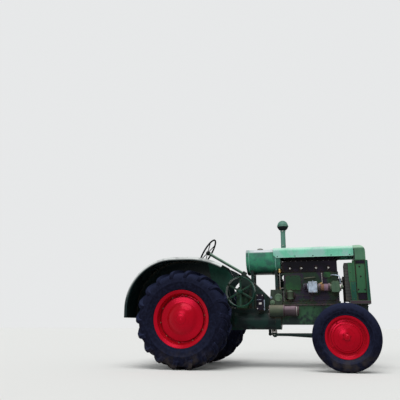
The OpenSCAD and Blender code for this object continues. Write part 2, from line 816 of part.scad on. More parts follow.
module knuckle(side) {
    y = side * kingpin_y;
    hub_y = side * front_hub_y;
    // Heights of the two lugs that hold the kingpin over and under the axle's eye
    upper = [eye_top_z + 2, eye_top_z + 34];
    lower = [eye_low_z - 36, eye_low_z - 2];
    lug_x = [wheelbase - 32, wheelbase + 32];
    arm_t = 16;
    color("darkslategray") place() {
        rod_z(lower[0] - 2, upper[1] + 6, wheelbase, y, kingpin_r);
        for (z = [upper, lower]) {
            rod_z(z[0], z[1], wheelbase, y, eye_r + 2);
            box(lug_x, side > 0 ? [y, y + 56] : [y - 56, y], z);
        }
        // The lugs join outside the axle's eye in the block that carries the spindle
        box(lug_x, side > 0 ? [y + 38, y + 58] : [y - 58, y - 38], [lower[0], upper[1]]);
        rod_y(side > 0 ? y + 50 : hub_y - 50, side > 0 ? hub_y + 50 : y - 50, wheelbase, front_axle_z, spindle_r);
        // Tie rod arm and its pin
        box([wheelbase - tie_arm, wheelbase], [y - 18, y + 18], [arm_z - arm_t, arm_z + arm_t]);
        rod_z(tie_z - 18, arm_z + arm_t, wheelbase - tie_arm, y, link_pin_r);
        rod_z(arm_z - arm_t, arm_z + arm_t, wheelbase - tie_arm, y, 24);
        if (side == left) {
            // Arm and pin for the drag link, with the boss that carries the arm under the lower lug
            box([wheelbase - 18, wheelbase + 18], [drag_y, y], [arm_z - 56, arm_z - 30]);
            rod_z(arm_z - 56, arm_z + 20, wheelbase, drag_y, link_pin_r);
            rod_z(arm_z - 56, arm_z - 24, wheelbase, drag_y, 22);
            rod_z(arm_z - 56, arm_z - 10, wheelbase, y, 30);
        }
    }
}
module knuckle_left() knuckle(left);
module knuckle_right() knuckle(right);

// Wheels: profiles are lists of (radius, offset from the tyre's middle towards the outside)

tyre_fn = 36;

// A whole section from its outer half
function both_halves(half) =
    concat(half, [for (i = [len(half) - 1:-1:0]) [half[i][0], -half[i][1]]]);

// The carcass, and the lugs in a ring whose section is the tyre's outline over their tips
module rear_tyre(side) {
    seat = rear_rim_r - 26;
    rim = rear_rim_w / 2;
    w = rear_tyre_w / 2;
    r = rear_tyre_r;
    tread_r = r - lug_h;
    lug_foot_r = r - 110;
    lug_lead = 92;
    carcass = [[seat, rim - 14 - gap], [rear_rim_r, rim - 8 - gap], [rear_rim_r + 90, w],
        [tread_r - 54, w - 10], [tread_r, w - 62]];
    tips = [[lug_foot_r, w - 12], [r - 48, w - 3], [r, w - 58]];
    color("darkslategray") place() translate([0, side * rear_hub_y, rear_axle_z]) {
        turned(side, tyre_fn) polygon(both_halves(carcass));
        intersection() {
            turned(side, tyre_fn) polygon(both_halves(tips));
            for (i = [0:rear_lugs - 1], half = [0, 1]) rotate([0, 360 * (i + half / 2) / rear_lugs, 0])
                mirror([0, half, 0]) translate([lug_lead, -8, lug_foot_r]) linear_extrude(r - lug_foot_r + 6)
                    rotate(90 + lug_slant) translate([0, -lug_w / 2]) square([w / cos(lug_slant), lug_w]);
        }
    }
}
module rear_tyre_left() rear_tyre(left);
module rear_tyre_right() rear_tyre(right);

module front_tyre(side) {
    seat = front_rim_r - 20;
    rim = front_rim_w / 2;
    w = front_tyre_w / 2;
    half = [[seat, rim - 11 - gap], [front_rim_r, rim - 6 - gap], [front_rim_r + 60, w],
        [front_tyre_r - 34, w - 9], [front_tyre_r, w - 46]];
    color("darkslategray") place() translate([wheelbase, side * front_hub_y, front_axle_z])
        turned(side, tyre_fn) polygon(both_halves(half));
}
module front_tyre_left() front_tyre(left);
module front_tyre_right() front_tyre(right);

module rear_wheel(side) {
    r = rear_rim_r;
    h = rear_rim_w / 2;
    seat = r - 27;
    well = r - 60;
    t = 9;
    hub_in = rear_hub_y - housing_end_y - turn_gap;
    // Dome: the slope at its edge, its radius, the centre of its sphere, and the soft bend into the disc
    slope = 36;
    dome_r = rear_dome_r / sin(slope);
    dome_c = [0, 166 - dome_r];
    bend_r = 60;
    bend_c = dome_c + (dome_r + bend_r) * [sin(slope), cos(slope)];
    // Rim from the outer edge over the tyre's side and back on the open side, where the disc stands in a groove
    rim_edge = [[r, h], [r, h - 8], [seat, h - 14], [seat, h - 66], [well, h - 96]];
    inner_edge = [[r - t, -h], [seat - t, -h + 12], [seat - t, -h + 70], [well - t, -h + 100]];
    outer_edge = [[well - t, h - 100], [seat - 20, h - 62], [seat - 20, h - 26], [seat - 14, h - 18], [r - 4, h]];
    disc_out = [[well - t + 1, 38], [312, 40], [304, 70], [298, 76]];
    disc_in = [[0, 100], [110, 100], [110, 92], [rear_dome_r, 80], [258, 66], [290, 56], [300, 30], [well - t + 1, 28]];
    color("crimson") place() translate([0, side * rear_hub_y, rear_axle_z]) {
        turned(side) polygon(concat(rim_edge, [for (i = [4:-1:0]) [rim_edge[i][0], -rim_edge[i][1]]],
            inner_edge, outer_edge));
        turned(side) polygon(concat(disc_out, arc(bend_c, bend_r, 258, 270 - slope, 3),
            arc(dome_c, dome_r, 90 - slope, 90, 6), disc_in));
        turned(side) polygon([[0, 101], [80, 101], [80, -hub_in], [axle_shaft_r, -hub_in],
            [axle_shaft_r, -hub_in - shaft_in], [0, -hub_in - shaft_in]]);
    }
}
module rear_wheel_left() rear_wheel(left);
module rear_wheel_right() rear_wheel(right);

module front_wheel(side) {
    r = front_rim_r;
    h = front_rim_w / 2;
    seat = r - 21;
    well = r - 42;
    t = 7;
    color("crimson") place() translate([wheelbase, side * front_hub_y, front_axle_z]) {
        turned(side) polygon([[r, h], [r, h - 6], [seat, h - 11], [seat, h - 34], [well, h - 50],
            [well, -h + 50], [seat, -h + 34], [seat, -h + 11], [r, -h + 6], [r, -h],
            [r - t, -h], [seat - t, -h + 9], [seat - t, -h + 37], [well - t, -h + 53],
            [well - t, h - 53], [seat - t, h - 37], [seat - t, h - 9], [r - t, h]]);
        turned(side) polygon([[well - t + 1, 12], [206, 16], [198, 32], [180, 36], [166, 46], [120, 62],
            [70, 74], [42, 78], [40, 96], [26, 106], [0, 108], [0, 60], [spindle_r + fit, 60],
            [spindle_r + fit, -24], [58, -24], [58, 56], [116, 54], [162, 38], [176, 28], [192, 24],
            [200, 8], [well - t + 1, 4]]);
    }
}
module front_wheel_left() front_wheel(left);
module front_wheel_right() front_wheel(right);

// Fenders and operator's place

// Section of a fender's crown with its upper face at radius r, and the distance inward from the outer
// side: a flat sheet, a turned-down edge and the bead rolled at its end
module fender_section(r) {
    translate([r, 0]) {
        translate([-sheet, fender_edge_r]) square([sheet, fender_w - fender_edge_r]);
        translate([-fender_edge_r, fender_edge_r]) intersection() {
            difference() {
                circle(fender_edge_r);
                circle(fender_edge_r - sheet);
            }
            translate([0, -fender_edge_r]) square(fender_edge_r);
        }
        translate([-fender_edge_r, bead_r]) circle(bead_r, $fn = 32);
    }
}

// A straight stretch of the crown that runs from p in the direction a - 90 degrees
module fender_straight(p, r, a, l) {
    translate(p) rotate([0, 0, a]) rotate([90, 0, 0]) linear_extrude(l) fender_section(r);
}

module fenders() {
    low = platform_z - deck_t;
    rear_foot = [rear_curve[0] - fender_rear_r + 1, rear_curve[1] - fender_tail];
    color("darkgreen") place() for (side = [0, 1]) mirror([0, side, 0]) {
        translate([0, fender_out_y, 0]) rotate([90, 0, 0]) {
            translate(rear_curve) rotate([0, 0, 90]) rotate_extrude(angle = 90, $fn = 180)
                fender_section(fender_rear_r);
            translate(front_curve) rotate([0, 0, fender_front_a])
                rotate_extrude(angle = 90 - fender_front_a, $fn = 180) fender_section(fender_front_r);
            fender_straight(rear_curve, fender_rear_r, 90, fender_flat);
            fender_straight([rear_curve[0], rear_foot[1]], fender_rear_r, 180, fender_tail);
        }
        // Panel between the wheel and the operator, cut away round the belt pulley
        side_profile(fender_in_y - sheet, fender_in_y + 1) polygon(concat([rear_foot],
            arc(rear_curve, fender_rear_r - 1, 180, 90, 16), arc(front_curve, fender_front_r - 1, 90, fender_front_a, 8),
            arc([pulley_at[0], pulley_at[2]], pulley_r + 18, 118, 205, 8),
            [[deck_front_x + 40, low], [deck_rear_x, low]]));
    }
}

module platform() {
    w = fender_in_y - sheet - gap;
    low = platform_z - deck_t;
    // Half the length of the hole for the top of the differential's drum, and its clearance
    clear = 5;
    drum_x = sqrt(diff_r * diff_r - pow(low - rear_axle_z, 2)) + clear;
    drum_y = drum_half_w + clear;
    color("darkslategray") place() {
        difference() {
            box([deck_rear_x, deck_front_x], [-w, w], [low, platform_z]);
            box([-drum_x, drum_x], [-drum_y, drum_y], [low - 12, platform_z + 10]);
        }
        // Blocks that stand on the axle housings
        for (y = [-w + 6, w - 56]) box([-25, 25], [y, y + 50], [rear_axle_z + housing_r + gap, low]);
    }
}

module seat() {
    color("darkslategray") place() translate([seat_x, 0, seat_z]) {
        rotate_extrude($fn = 96) polygon([[0, -52], [110, -48], [170, -34], [seat_r, 0],
            [seat_r + 12, 0], [seat_r + 12, -6], [seat_r + 4, -8], [176, -41], [112, -55], [0, -59]]);
        rotate([0, 0, 110]) rotate_extrude(angle = 140, $fn = 96) polygon([[seat_r - 2, -6],
            [seat_r + 26, 88], [seat_r + 34, 88], [seat_r + 10, -6]]);
    }
}

module seat_spring() {
    t = 12;
    c = [-300, platform_z + gap + 176];
    top = seat_z - 59 - gap;
    color("darkslategray") place() {
        side_profile(-35, 35) polygon(concat(arc(c, 176 - t, -90, -180, 8),
            [[c[0] - 176 + t, top - t], [-366, top - t], [-366, top], [c[0] - 176, top]],
            arc(c, 176, -180, -90, 8), [[-200, platform_z + gap], [-200, platform_z + gap + t]]));
    }
}

module belt_pulley() {
    rim_t = 12;
    color("seagreen") place() translate(pulley_at) {
        turned(right) polygon([[pulley_r - rim_t, -pulley_w / 2], [pulley_r - 4, -pulley_w / 2],
            [pulley_r, 0], [pulley_r - 4, pulley_w / 2], [pulley_r - rim_t, pulley_w / 2]]);
        turned(right) polygon([[0, -50], [34, -50], [34, 46], [26, 56], [0, 56]]);
        for (i = [0:5]) rotate([0, 60 * i, 0]) translate([0, -9, -pulley_r + 5]) {
            translate([-14, 0, 0]) cube([28, 10, pulley_r - 30]);
            translate([-4, -14, 0]) cube([8, 30, pulley_r - 30]);
        }
        rotate([-90, 0, 0]) cylinder(r = 20, h = 150);
    }
}

module pulley_gearbox() {
    color("darkgreen") place() difference() {
        union() {
            translate([pulley_at[0], pulley_at[1] + 60, pulley_at[2]]) rotate([-90, 0, 0]) cylinder(r = 48, h = 120);
            translate([pulley_at[0], -300, pulley_at[2]]) rotate([-90, 0, 0]) cylinder(r = 86, h = 130);
            box([pulley_at[0] - 80, pulley_at[0] + 80], [-300, -gear_half_w - gap], [case_top_z + gap, pulley_at[2]]);
        }
        translate([pulley_at[0], pulley_at[1] + 50, pulley_at[2]]) rotate([-90, 0, 0]) cylinder(r = 20 + fit, h = 110);
    }
}

module drawbar() {
    color("darkslategray") place() difference() {
        union() {
            box([drawbar_x, 280], [-40, 40], [drawbar_z, drawbar_z + drawbar_t]);
            rod_z(drawbar_z, drawbar_z + drawbar_t, drawbar_x, 0, 40);
            box([case_rear_x - 40, case_rear_x - gap], [-60, 60], [drawbar_z, case_low_z + 60]);
            box([230, 270], [-60, 60], [drawbar_z, case_low_z - 8]);
        }
        rod_z(drawbar_z - 10, drawbar_z + drawbar_t + 10, drawbar_x, 0, drawbar_pin_r);
    }
}

module levers_pedals() {
    z = case_top_z + gap;
    x = lever_x;
    lever_y = 55;
    knob_z = case_top_z + 430;
    pedal_z = case_top_z + 145;
    color("darkslategray") place() {
        box([x, x + 70], [lever_y - 30, lever_y + 30], [z, z + 24]);
        side_profile(lever_y - 7, lever_y + 7)
            polygon([[x + 20, z + 10], [x + 50, z + 10], [x - 49, knob_z - 5], [x - 71, knob_z - 5]]);
        translate([x - 60, lever_y, knob_z]) sphere(r = 24);
        for (y = [-150, 150]) {
            box([x + 5, x + 65], [y - 18, y + 18], [z, z + 24]);
            side_profile(y - 8, y + 8)
                polygon([[x + 20, z + 10], [x + 52, z + 10], [x - 50, pedal_z + 6], [x - 80, pedal_z + 6]]);
            box([x - 105, x - 25], [y - 40, y + 40], [pedal_z, pedal_z + 14]);
        }
    }
}

module pto_shaft() {
    color("silver") place() {
        rod_x(pto_out_x, pto_out_x + pto_free, 0, pto_z, pto_r);
        rod_x(pto_out_x + pto_free, pto_in_x, 0, pto_z, pto_neck_r);
    }
}

transmission_case();
rear_axle_housing();
clutch_housing();
front_frame();
front_bolster();
engine_block();
cylinder_head();
spark_plugs();
exhaust_manifold();
carburettor();
air_cleaner();
air_stack();
water_pump();
fan_belt();
fan();
magneto();
governor_drive();
oil_filter();
starter();
side_box();
fuel_tank();
tank_cradle();
hood();
radiator_tanks();
radiator_core();
radiator_sides();
radiator_grille();
steering_gear();
steering_column();
steering_wheel();
drop_arm();
drag_link();
tie_rod();
front_axle();
radius_rods();
knuckle_left();
knuckle_right();
front_tyre_left();
front_tyre_right();
front_wheel_left();
front_wheel_right();
rear_tyre_left();
rear_tyre_right();
rear_wheel_left();
rear_wheel_right();
fenders();
platform();
seat();
seat_spring();
belt_pulley();
pulley_gearbox();
drawbar();
levers_pedals();
pto_shaft();
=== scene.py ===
import json
from math import cos, radians, sin, sqrt, tan, tau

import bmesh
import bpy
from mathutils import Matrix, Vector


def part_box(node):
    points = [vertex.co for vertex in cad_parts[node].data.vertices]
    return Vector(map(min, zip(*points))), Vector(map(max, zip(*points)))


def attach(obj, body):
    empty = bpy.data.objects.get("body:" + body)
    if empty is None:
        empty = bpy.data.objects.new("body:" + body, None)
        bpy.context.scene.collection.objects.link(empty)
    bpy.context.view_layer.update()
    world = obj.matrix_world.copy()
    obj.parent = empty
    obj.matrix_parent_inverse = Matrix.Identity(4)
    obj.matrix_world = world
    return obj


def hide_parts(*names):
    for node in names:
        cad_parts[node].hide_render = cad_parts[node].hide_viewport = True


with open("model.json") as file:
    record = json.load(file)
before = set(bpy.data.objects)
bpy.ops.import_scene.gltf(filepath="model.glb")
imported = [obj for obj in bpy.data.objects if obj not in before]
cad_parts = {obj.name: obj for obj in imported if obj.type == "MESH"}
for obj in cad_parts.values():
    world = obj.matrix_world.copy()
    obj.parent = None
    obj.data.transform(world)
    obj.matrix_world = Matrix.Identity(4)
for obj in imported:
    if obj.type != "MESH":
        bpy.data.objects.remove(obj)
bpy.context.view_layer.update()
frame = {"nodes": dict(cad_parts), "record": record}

X, Y, Z = Vector((1, 0, 0)), Vector((0, 1, 0)), Vector((0, 0, 1))
LEFT, RIGHT = 1, -1
SIDES = {"left": LEFT, "right": RIGHT}


# Places read from the frame, in metres

def centre_of(node):
    low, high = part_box(node)
    return (low + high) / 2


rear_hub = {side: centre_of("rear_tyre_" + side) for side in SIDES}
front_hub = {side: centre_of("front_tyre_" + side) for side in SIDES}
origin = rear_hub["right"]


def at(x, y, z):
    """A point in millimetres as part.scad counts them: from the rear axle, and from a level 660 under it."""
    return Vector((origin.x + x / 1000, y / 1000, origin.z + (z - 660) / 1000))


def line(x, y, z, n):
    """Points evenly spaced, placed as by at(); x, y and z are each one number or a pair (from, to)."""
    a, b = (at(*(c[end] if isinstance(c, tuple) else c for c in (x, y, z))) for end in (0, 1))
    return [a.lerp(b, i / max(n - 1, 1)) for i in range(n)]


def across(axis):
    """Two unit vectors square to an axis."""
    axis = axis.normalized()
    helper = Z if abs(axis.z) < 0.9 else X
    u = helper.cross(axis).normalized()
    return u, axis.cross(u)


def ring(centre, axis, r, n, first=0):
    """Points evenly spaced on a circle of r millimetres, the first of them turned by first degrees."""
    u, v = across(axis)
    turns = [radians(first) + tau * i / n for i in range(n)]
    return [centre + r / 1000 * (cos(a) * u + sin(a) * v) for a in turns]


def arc(x, y, r, degrees):
    """Pairs on a circle round x, y."""
    return [(x + r * cos(radians(a)), y + r * sin(radians(a))) for a in degrees]


def curve(steps, *places):
    """A smooth path through places given as to at(), as a Catmull-Rom curve."""
    points = [at(*p) for p in places]
    padded = [2 * points[0] - points[1]] + points + [2 * points[-1] - points[-2]]
    path = []
    for i in range(1, len(padded) - 2):
        a, b, c, d = padded[i - 1:i + 3]
        for s in range(steps):
            t = s / steps
            path.append(0.5 * (2 * b + (c - a) * t + (2 * a - 5 * b + 4 * c - d) * t * t
                               + (3 * b - a - 3 * c + d) * t ** 3))
    path.append(points[-1])
    return path


def linked(name, data):
    made = bpy.data.objects.new(name, data)
    bpy.context.scene.collection.objects.link(made)
    return made


class Shape:
    """A mesh of rings of points, joined one to the next. Places and vectors are in metres, sizes in mm."""

    def __init__(self):
        self.points = []
        self.faces = []

    def loft(self, rings, closed=False):
        """Joins rings of as many points each; closed joins the last ring to the first."""
        first = len(self.points)
        n = len(rings[0])
        for points in rings:
            self.points.extend(points)
        for i in range(len(rings) if closed else len(rings) - 1):
            a = first + i * n
            b = first + (i + 1) % len(rings) * n
            for j in range(n):
                k = (j + 1) % n
                self.faces.append((a + j, a + k, b + k, b + j))
        if not closed:
            last = first + (len(rings) - 1) * n
            self.faces.append(tuple(range(first + n - 1, first - 1, -1)))
            self.faces.append(tuple(range(last, last + n)))
        return self

    def lathe(self, profile, centre, axis, n):
        """Turns a closed profile of (radius, offset along the axis)."""
        u, v = across(axis)
        rings = []
        for i in range(n):
            a = tau * i / n
            out = cos(a) * u + sin(a) * v
            rings.append([centre + r / 1000 * out + h / 1000 * axis for r, h in profile])
        return self.loft(rings, closed=True)

    def stem(self, start, axis, steps, n=6):
        """A solid piece with n sides: steps are (radius, distance along the axis)."""
        return self.loft([ring(start + h / 1000 * axis, axis, r, n) for r, h in steps])

    def sleeve(self, centre, axis, r, a, b, t, n=48):
        """A band round a solid of radius r, from a to b along its axis, which stands t out of it."""
        e = min(t, (b - a) / 4)
        inside = r - 4
        profile = [(inside, a), (r + t - e, a), (r + t, a + e), (r + t, b - e), (r + t - e, b), (inside, b)]
        return self.lathe(profile, centre, axis, n)

    def bolt(self, place, axis, r):
        """A washer and a hexagonal head."""
        self.stem(place, axis, [(r * 1.35, 0), (r * 1.35, r * 0.22)], 16)
        return self.stem(place, axis, [(r, r * 0.2), (r, r * 0.8), (r * 0.86, r * 0.95)])

    def tube(self, path, r, n=12):
        """A round pipe or rod along a path."""
        rings = []
        side = None
        for i, p in enumerate(path):
            ahead = (path[min(i + 1, len(path) - 1)] - path[max(i - 1, 0)]).normalized()
            side = side or across(ahead)[0]
            side = (side - side.dot(ahead) * ahead).normalized()
            other = ahead.cross(side)
            turns = [tau * j / n for j in range(n)]
            rings.append([p + r / 1000 * (cos(a) * side + sin(a) * other) for a in turns])
        return self.loft(rings)

    def block(self, low, high):
        """A box between two corners."""
        (a, b, c), (d, e, f) = low, high
        return self.loft([[(x, y, z) for x, y in ((a, b), (d, b), (d, e), (a, e))] for z in (c, f)])

    def plate(self, outline, along):
        """A flat outline of points carried by the vector along."""
        return self.loft([outline, [p + Vector(along) for p in outline]])

    def piece(self, name, finish, body="chassis", smooth=35, bevel=0):
        mesh = bpy.data.meshes.new(name)
        mesh.from_pydata(self.points, [], self.faces)
        faces = bmesh.new()
        faces.from_mesh(mesh)
        bmesh.ops.recalc_face_normals(faces, faces=faces.faces)
        faces.to_mesh(mesh)
        faces.free()
        mesh.materials.append(finishes[finish])
        mesh.shade_smooth()
        mesh.set_sharp_from_angle(angle=radians(smooth))
        made = linked(name, mesh)
        if bevel:
            edge = made.modifiers.new("edge", "BEVEL")
            edge.width = bevel / 1000
            edge.segments = 2
            edge.limit_method = "ANGLE"
            edge.angle_limit = radians(smooth)
            edge.harden_normals = True
        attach(made, body)
        return made


def facings(name, finish, plates, sides=(LEFT, RIGHT), thick=4, bevel=0.6):
    """A piece of thin plates: each is (x from, x to), how far out its face is, and (z from, z to)."""
    shape = Shape()
    for side in sides:
        for x, out_y, z in plates:
            near, far = sorted((side * out_y, side * (out_y - thick)))
            shape.block(at(x[0], near, z[0]), at(x[1], far, z[1]))
    shape.piece(name, finish, bevel=bevel)


# Finishes

finishes = {}


def feed(tree, socket, value):
    """Gives a socket a number, a colour or another node's output."""
    if isinstance(value, bpy.types.NodeSocket):
        tree.links.new(value, socket)
    else:
        socket.default_value = (*value, 1) if socket.type == "RGBA" else value


def new_node(tree, kind, inputs, **settings):
    """The outputs of a new node."""
    node = tree.nodes.new(kind)
    for name, value in settings.items():
        setattr(node, name, value)
    for name, value in inputs.items():
        feed(tree, node.inputs[name], value)
    return node.outputs


class Graph:
    """A material's nodes, written as sums."""

    def __init__(self, name):
        self.name = name
        self.material = bpy.data.materials.new(name)
        self.material.use_nodes = True
        self.place = self.node("ShaderNodeTexCoord", {})["Object"]
        self.normal = self.node("ShaderNodeNewGeometry", {})["Normal"]

    def node(self, kind, inputs, **settings):
        return new_node(self.material.node_tree, kind, inputs, **settings)

    def math(self, operation, a, b, clamp=False):
        return self.node("ShaderNodeMath", {0: a, 1: b}, operation=operation, use_clamp=clamp)[0]

    def times(self, a, b):
        return self.math("MULTIPLY", a, b)

    def noise(self, scale, detail, stretch=None, rough=0.55):
        place = self.place
        if stretch:
            place = self.node("ShaderNodeMapping", {"Vector": place, "Scale": stretch})["Vector"]
        inputs = {"Vector": place, "Scale": scale, "Detail": detail, "Roughness": rough}
        return self.node("ShaderNodeTexNoise", inputs)["Fac"]

    def span(self, value, low, high, a=0, b=1):
        """a at low, b at high, and held there beyond."""
        inputs = {"Value": value, "From Min": low, "From Max": high, "To Min": a, "To Max": b}
        return self.node("ShaderNodeMapRange", inputs)["Result"]

    def mix(self, share, a, b):
        return self.node("ShaderNodeMix", {"Factor": share, 6: a, 7: b}, data_type="RGBA")[2]

    def lay(self, share, colour):
        """Lays another colour over the finish."""
        self.colour = self.mix(share, self.colour, colour)

    def z_of(self, vector):
        return self.node("ShaderNodeSeparateXYZ", {0: vector})["Z"]

    def hollow(self, reach):
        """Ambient occlusion: 1 in corners and gaps, where shade falls, 0 in the open."""
        open_part = self.node("ShaderNodeAmbientOcclusion", {"Distance": reach}, samples=6)["AO"]
        return self.math("SUBTRACT", 1, open_part)

    def rounded(self, r):
        return self.node("ShaderNodeBevel", {"Radius": r}, samples=4)["Normal"]

    def edges(self, rounded):
        """1 on sharp edges, 0 on flat ground."""
        outputs = self.node("ShaderNodeVectorMath", {0: rounded, 1: self.normal}, operation="DOT_PRODUCT")
        return self.span(outputs["Value"], 0.985, 0.86)

    def bump(self, height, strength, distance, normal=None):
        inputs = {"Strength": strength, "Distance": distance, "Height": height}
        if normal:
            inputs["Normal"] = normal
        return self.node("ShaderNodeBump", inputs)["Normal"]

    def finish(self, roughness, normal, metallic=0, coat=0, specular=0.5, tint=(1, 1, 1)):
        tree = self.material.node_tree
        values = {"Base Color": self.colour, "Roughness": roughness, "Normal": normal, "Metallic": metallic,
                  "Coat Weight": coat, "Coat Roughness": 0.25, "Specular IOR Level": specular,
                  "Specular Tint": tint}
        for name, value in values.items():
            feed(tree, tree.nodes["Principled BSDF"].inputs[name], value)
        finishes[self.name] = self.material
        return self.material


# What settles on a finish or shows through it; the soil and oil colours laid in corners are partly painted
# shade
DUST = (0.3, 0.29, 0.25)
SOIL = (0.075, 0.058, 0.04)
OIL_AND_SHADE = (0.012, 0.012, 0.011)
RUST = (0.16, 0.062, 0.026)
VIOLET = (0.022, 0.014, 0.028)


def painted(name, base, faded, chip=RUST, dust=0.15, wear=0.6, grime_and_shade=0.9, rough=(0.34, 0.6), cast=0,
            coat=0, streaks=0.4, specks=0.8, top_highlight=None, specular=0.08, patches=None, shade_below=None,
            tint=(1, 1, 1), highlight_span=(0.12, 0.8)):
    """Old paint: blotches, rain streaks, dust and a painted highlight on top, soil and painted shade in
    corners, worn edges and specks.

    chip is the colour under worn paint, cast the grain of a casting, patches a second colour in large spots.
    The colour for the lower part, with the heights in metres at which it is full and has faded out, is
    painted shade; the pale colour for faces that look up is a painted highlight, with how far upward a face
    looks where it begins and where it is full; tint colours the shine."""
    g = Graph(name)
    blotch = g.span(g.noise(2.6, 5), 0.38, 0.66)
    fine = g.noise(38, 6, rough=0.65)
    g.colour = g.mix(blotch, base, faded)
    g.lay(g.times(g.span(g.noise(9, 6), 0.5, 0.72), 0.35), faded)
    streak = g.span(g.noise(22, 3, stretch=(1.4, 1.4, 0.06)), 0.52, 0.74)
    g.lay(g.times(streak, streaks), tuple(c * 0.62 for c in base))
    if patches:
        g.lay(g.span(g.noise(5.5, 6, rough=0.6), 0.47, 0.56), patches)
    # Painted shade: the lower part darker, fading out between two heights
    if shade_below:
        shade_tone, low, high = shade_below
        above = g.math("ADD", g.z_of(g.place), g.times(fine, 0.05))
        g.lay(g.span(above, high, low), shade_tone)
    # Painted highlight: a pale colour in patches on faces that look up
    if top_highlight:
        facing_up = g.span(g.z_of(g.normal), *highlight_span)
        highlight_patches = g.times(facing_up, g.span(g.span(g.noise(7, 5), 0.3, 0.5), 0, 1, 0.4, 1))
        g.lay(highlight_patches, top_highlight)
    settled = g.times(g.times(g.span(g.z_of(g.normal), 0.35, 0.95), g.span(fine, 0.3, 0.62)), dust)
    g.lay(settled, DUST)
    # Soil and painted shade: soil colour laid in corners and gaps by ambient occlusion
    g.lay(g.times(g.span(g.hollow(0.06), 0.25, 0.8), grime_and_shade), SOIL)
    rounded = g.rounded(0.0025)
    worn = g.times(g.edges(rounded), g.span(g.noise(17, 6, rough=0.7), 0.42, 0.6))
    g.lay(g.times(worn, wear), chip)
    speck = g.span(g.noise(75, 3, rough=0.7), 0.66, 0.72)
    speck = g.times(speck, g.span(g.noise(4.5, 4), 0.48, 0.66))
    g.lay(g.times(speck, specks), chip)
    dull = g.math("ADD", g.times(blotch, 0.5), g.times(settled, 0.8), clamp=True)
    roughness = g.span(g.math("ADD", dull, g.times(fine, 0.25), clamp=True), 0, 1, *rough)
    normal = g.bump(g.noise(5, 3), 0.12, 0.01, rounded)
    if cast:
        normal = g.bump(g.noise(190, 4, rough=0.7), cast, 0.0015, normal)
    else:
        normal = g.bump(fine, 0.06, 0.002, normal)
    return g.finish(roughness, normal, coat=coat, specular=specular, tint=tint)


def bare_metal(name, base, tarnish, rough=(0.3, 0.6), spots=0.5, metallic=0.9):
    """Metal without paint: tarnish in patches, oil stains and painted shade in corners, and a fine grain."""
    g = Graph(name)
    patch = g.span(g.noise(14, 6, rough=0.65), 0.42, 0.66)
    g.colour = g.mix(g.times(patch, spots), base, tarnish)
    # Oil stains and painted shade: near black laid in corners by ambient occlusion
    g.lay(g.span(g.hollow(0.03), 0.3, 0.85), OIL_AND_SHADE)
    rounded = g.rounded(0.0015)
    normal = g.bump(g.noise(260, 3, rough=0.7), 0.15, 0.001, rounded)
    return g.finish(g.span(patch, 0, 1, *rough), normal, metallic=metallic)


def rusted(name):
    """Heavy brown rust with darker scale."""
    g = Graph(name)
    patch = g.span(g.noise(11, 8, rough=0.7), 0.35, 0.68)
    g.colour = g.mix(patch, (0.055, 0.028, 0.018), (0.21, 0.085, 0.036))
    g.lay(g.times(g.span(g.noise(60, 5), 0.5, 0.7), 0.5), (0.3, 0.14, 0.06))
    # Oil stains and painted shade: near black laid in corners by ambient occlusion
    g.lay(g.span(g.hollow(0.05), 0.3, 0.9), OIL_AND_SHADE)
    normal = g.bump(g.noise(90, 8, rough=0.75), 0.5, 0.003, g.rounded(0.002))
    return g.finish(g.span(patch, 0, 1, 0.75, 0.92), normal)


def rubber(name, base, dust_and_sheen, dust=0.5, low_soil=0):
    """Weathered rubber: pale dust on the open faces and none in the hollows, which stay dark as painted
    shade, a painted sheen on faces that look up, lighter edges partly worn and partly painted highlight, soil
    low down.
    """
    g = Graph(name)
    fine = g.noise(30, 7, rough=0.7)
    # Painted shade: dust stays out of the corners and gaps that ambient occlusion finds, so they stay dark
    out_of_shade = g.math("SUBTRACT", 1, g.span(g.hollow(0.05), 0.1, 0.7))
    dusted = g.times(g.times(out_of_shade, g.span(fine, 0.42, 0.72)), dust)
    g.colour = g.mix(dusted, base, dust_and_sheen)
    # Painted sheen: faces that look up are laid toward the pale colour
    g.lay(g.times(g.span(g.z_of(g.normal), -0.05, 0.7), 0.7), dust_and_sheen)
    rounded = g.rounded(0.004)
    # Lighter edges, partly worn rubber and partly painted highlight
    g.lay(g.times(g.edges(rounded), 0.85), tuple(2.2 * c for c in dust_and_sheen))
    if low_soil:
        muddy = g.times(g.span(g.z_of(g.place), 0.3, 0.02), g.span(g.noise(8, 6), 0.42, 0.62))
        g.lay(g.times(muddy, low_soil), SOIL)
    normal = g.bump(g.noise(120, 5, rough=0.7), 0.22, 0.0012, rounded)
    return g.finish(g.span(fine, 0, 1, 0.6, 0.88), normal, specular=0.04)


def ceramic(name):
    g = Graph(name)
    dirt = g.span(g.noise(70, 5), 0.5, 0.75)
    g.colour = g.mix(dirt, (0.9, 0.9, 0.88), (0.6, 0.58, 0.52))
    return g.finish(0.22, g.bump(dirt, 0.05, 0.0005), coat=0.5)


def core_fins(name):
    """Radiator core: fine upright fins between flat tubes."""
    g = Graph(name)
    place = g.node("ShaderNodeSeparateXYZ", {0: g.place})
    fin = g.math("PINGPONG", g.times(place["Y"], 110), 1)
    tube = g.math("PINGPONG", g.times(place["Z"], 45), 1)
    comb = g.times(g.span(fin, 0.25, 0.6), g.span(tube, 0.1, 0.4))
    g.colour = g.mix(comb, (0.004, 0.005, 0.005), (0.022, 0.024, 0.022))
    g.lay(g.times(g.span(g.noise(9, 5), 0.5, 0.7), 0.5), SOIL)
    return g.finish(0.6, g.bump(comb, 0.8, 0.003), metallic=0.3)


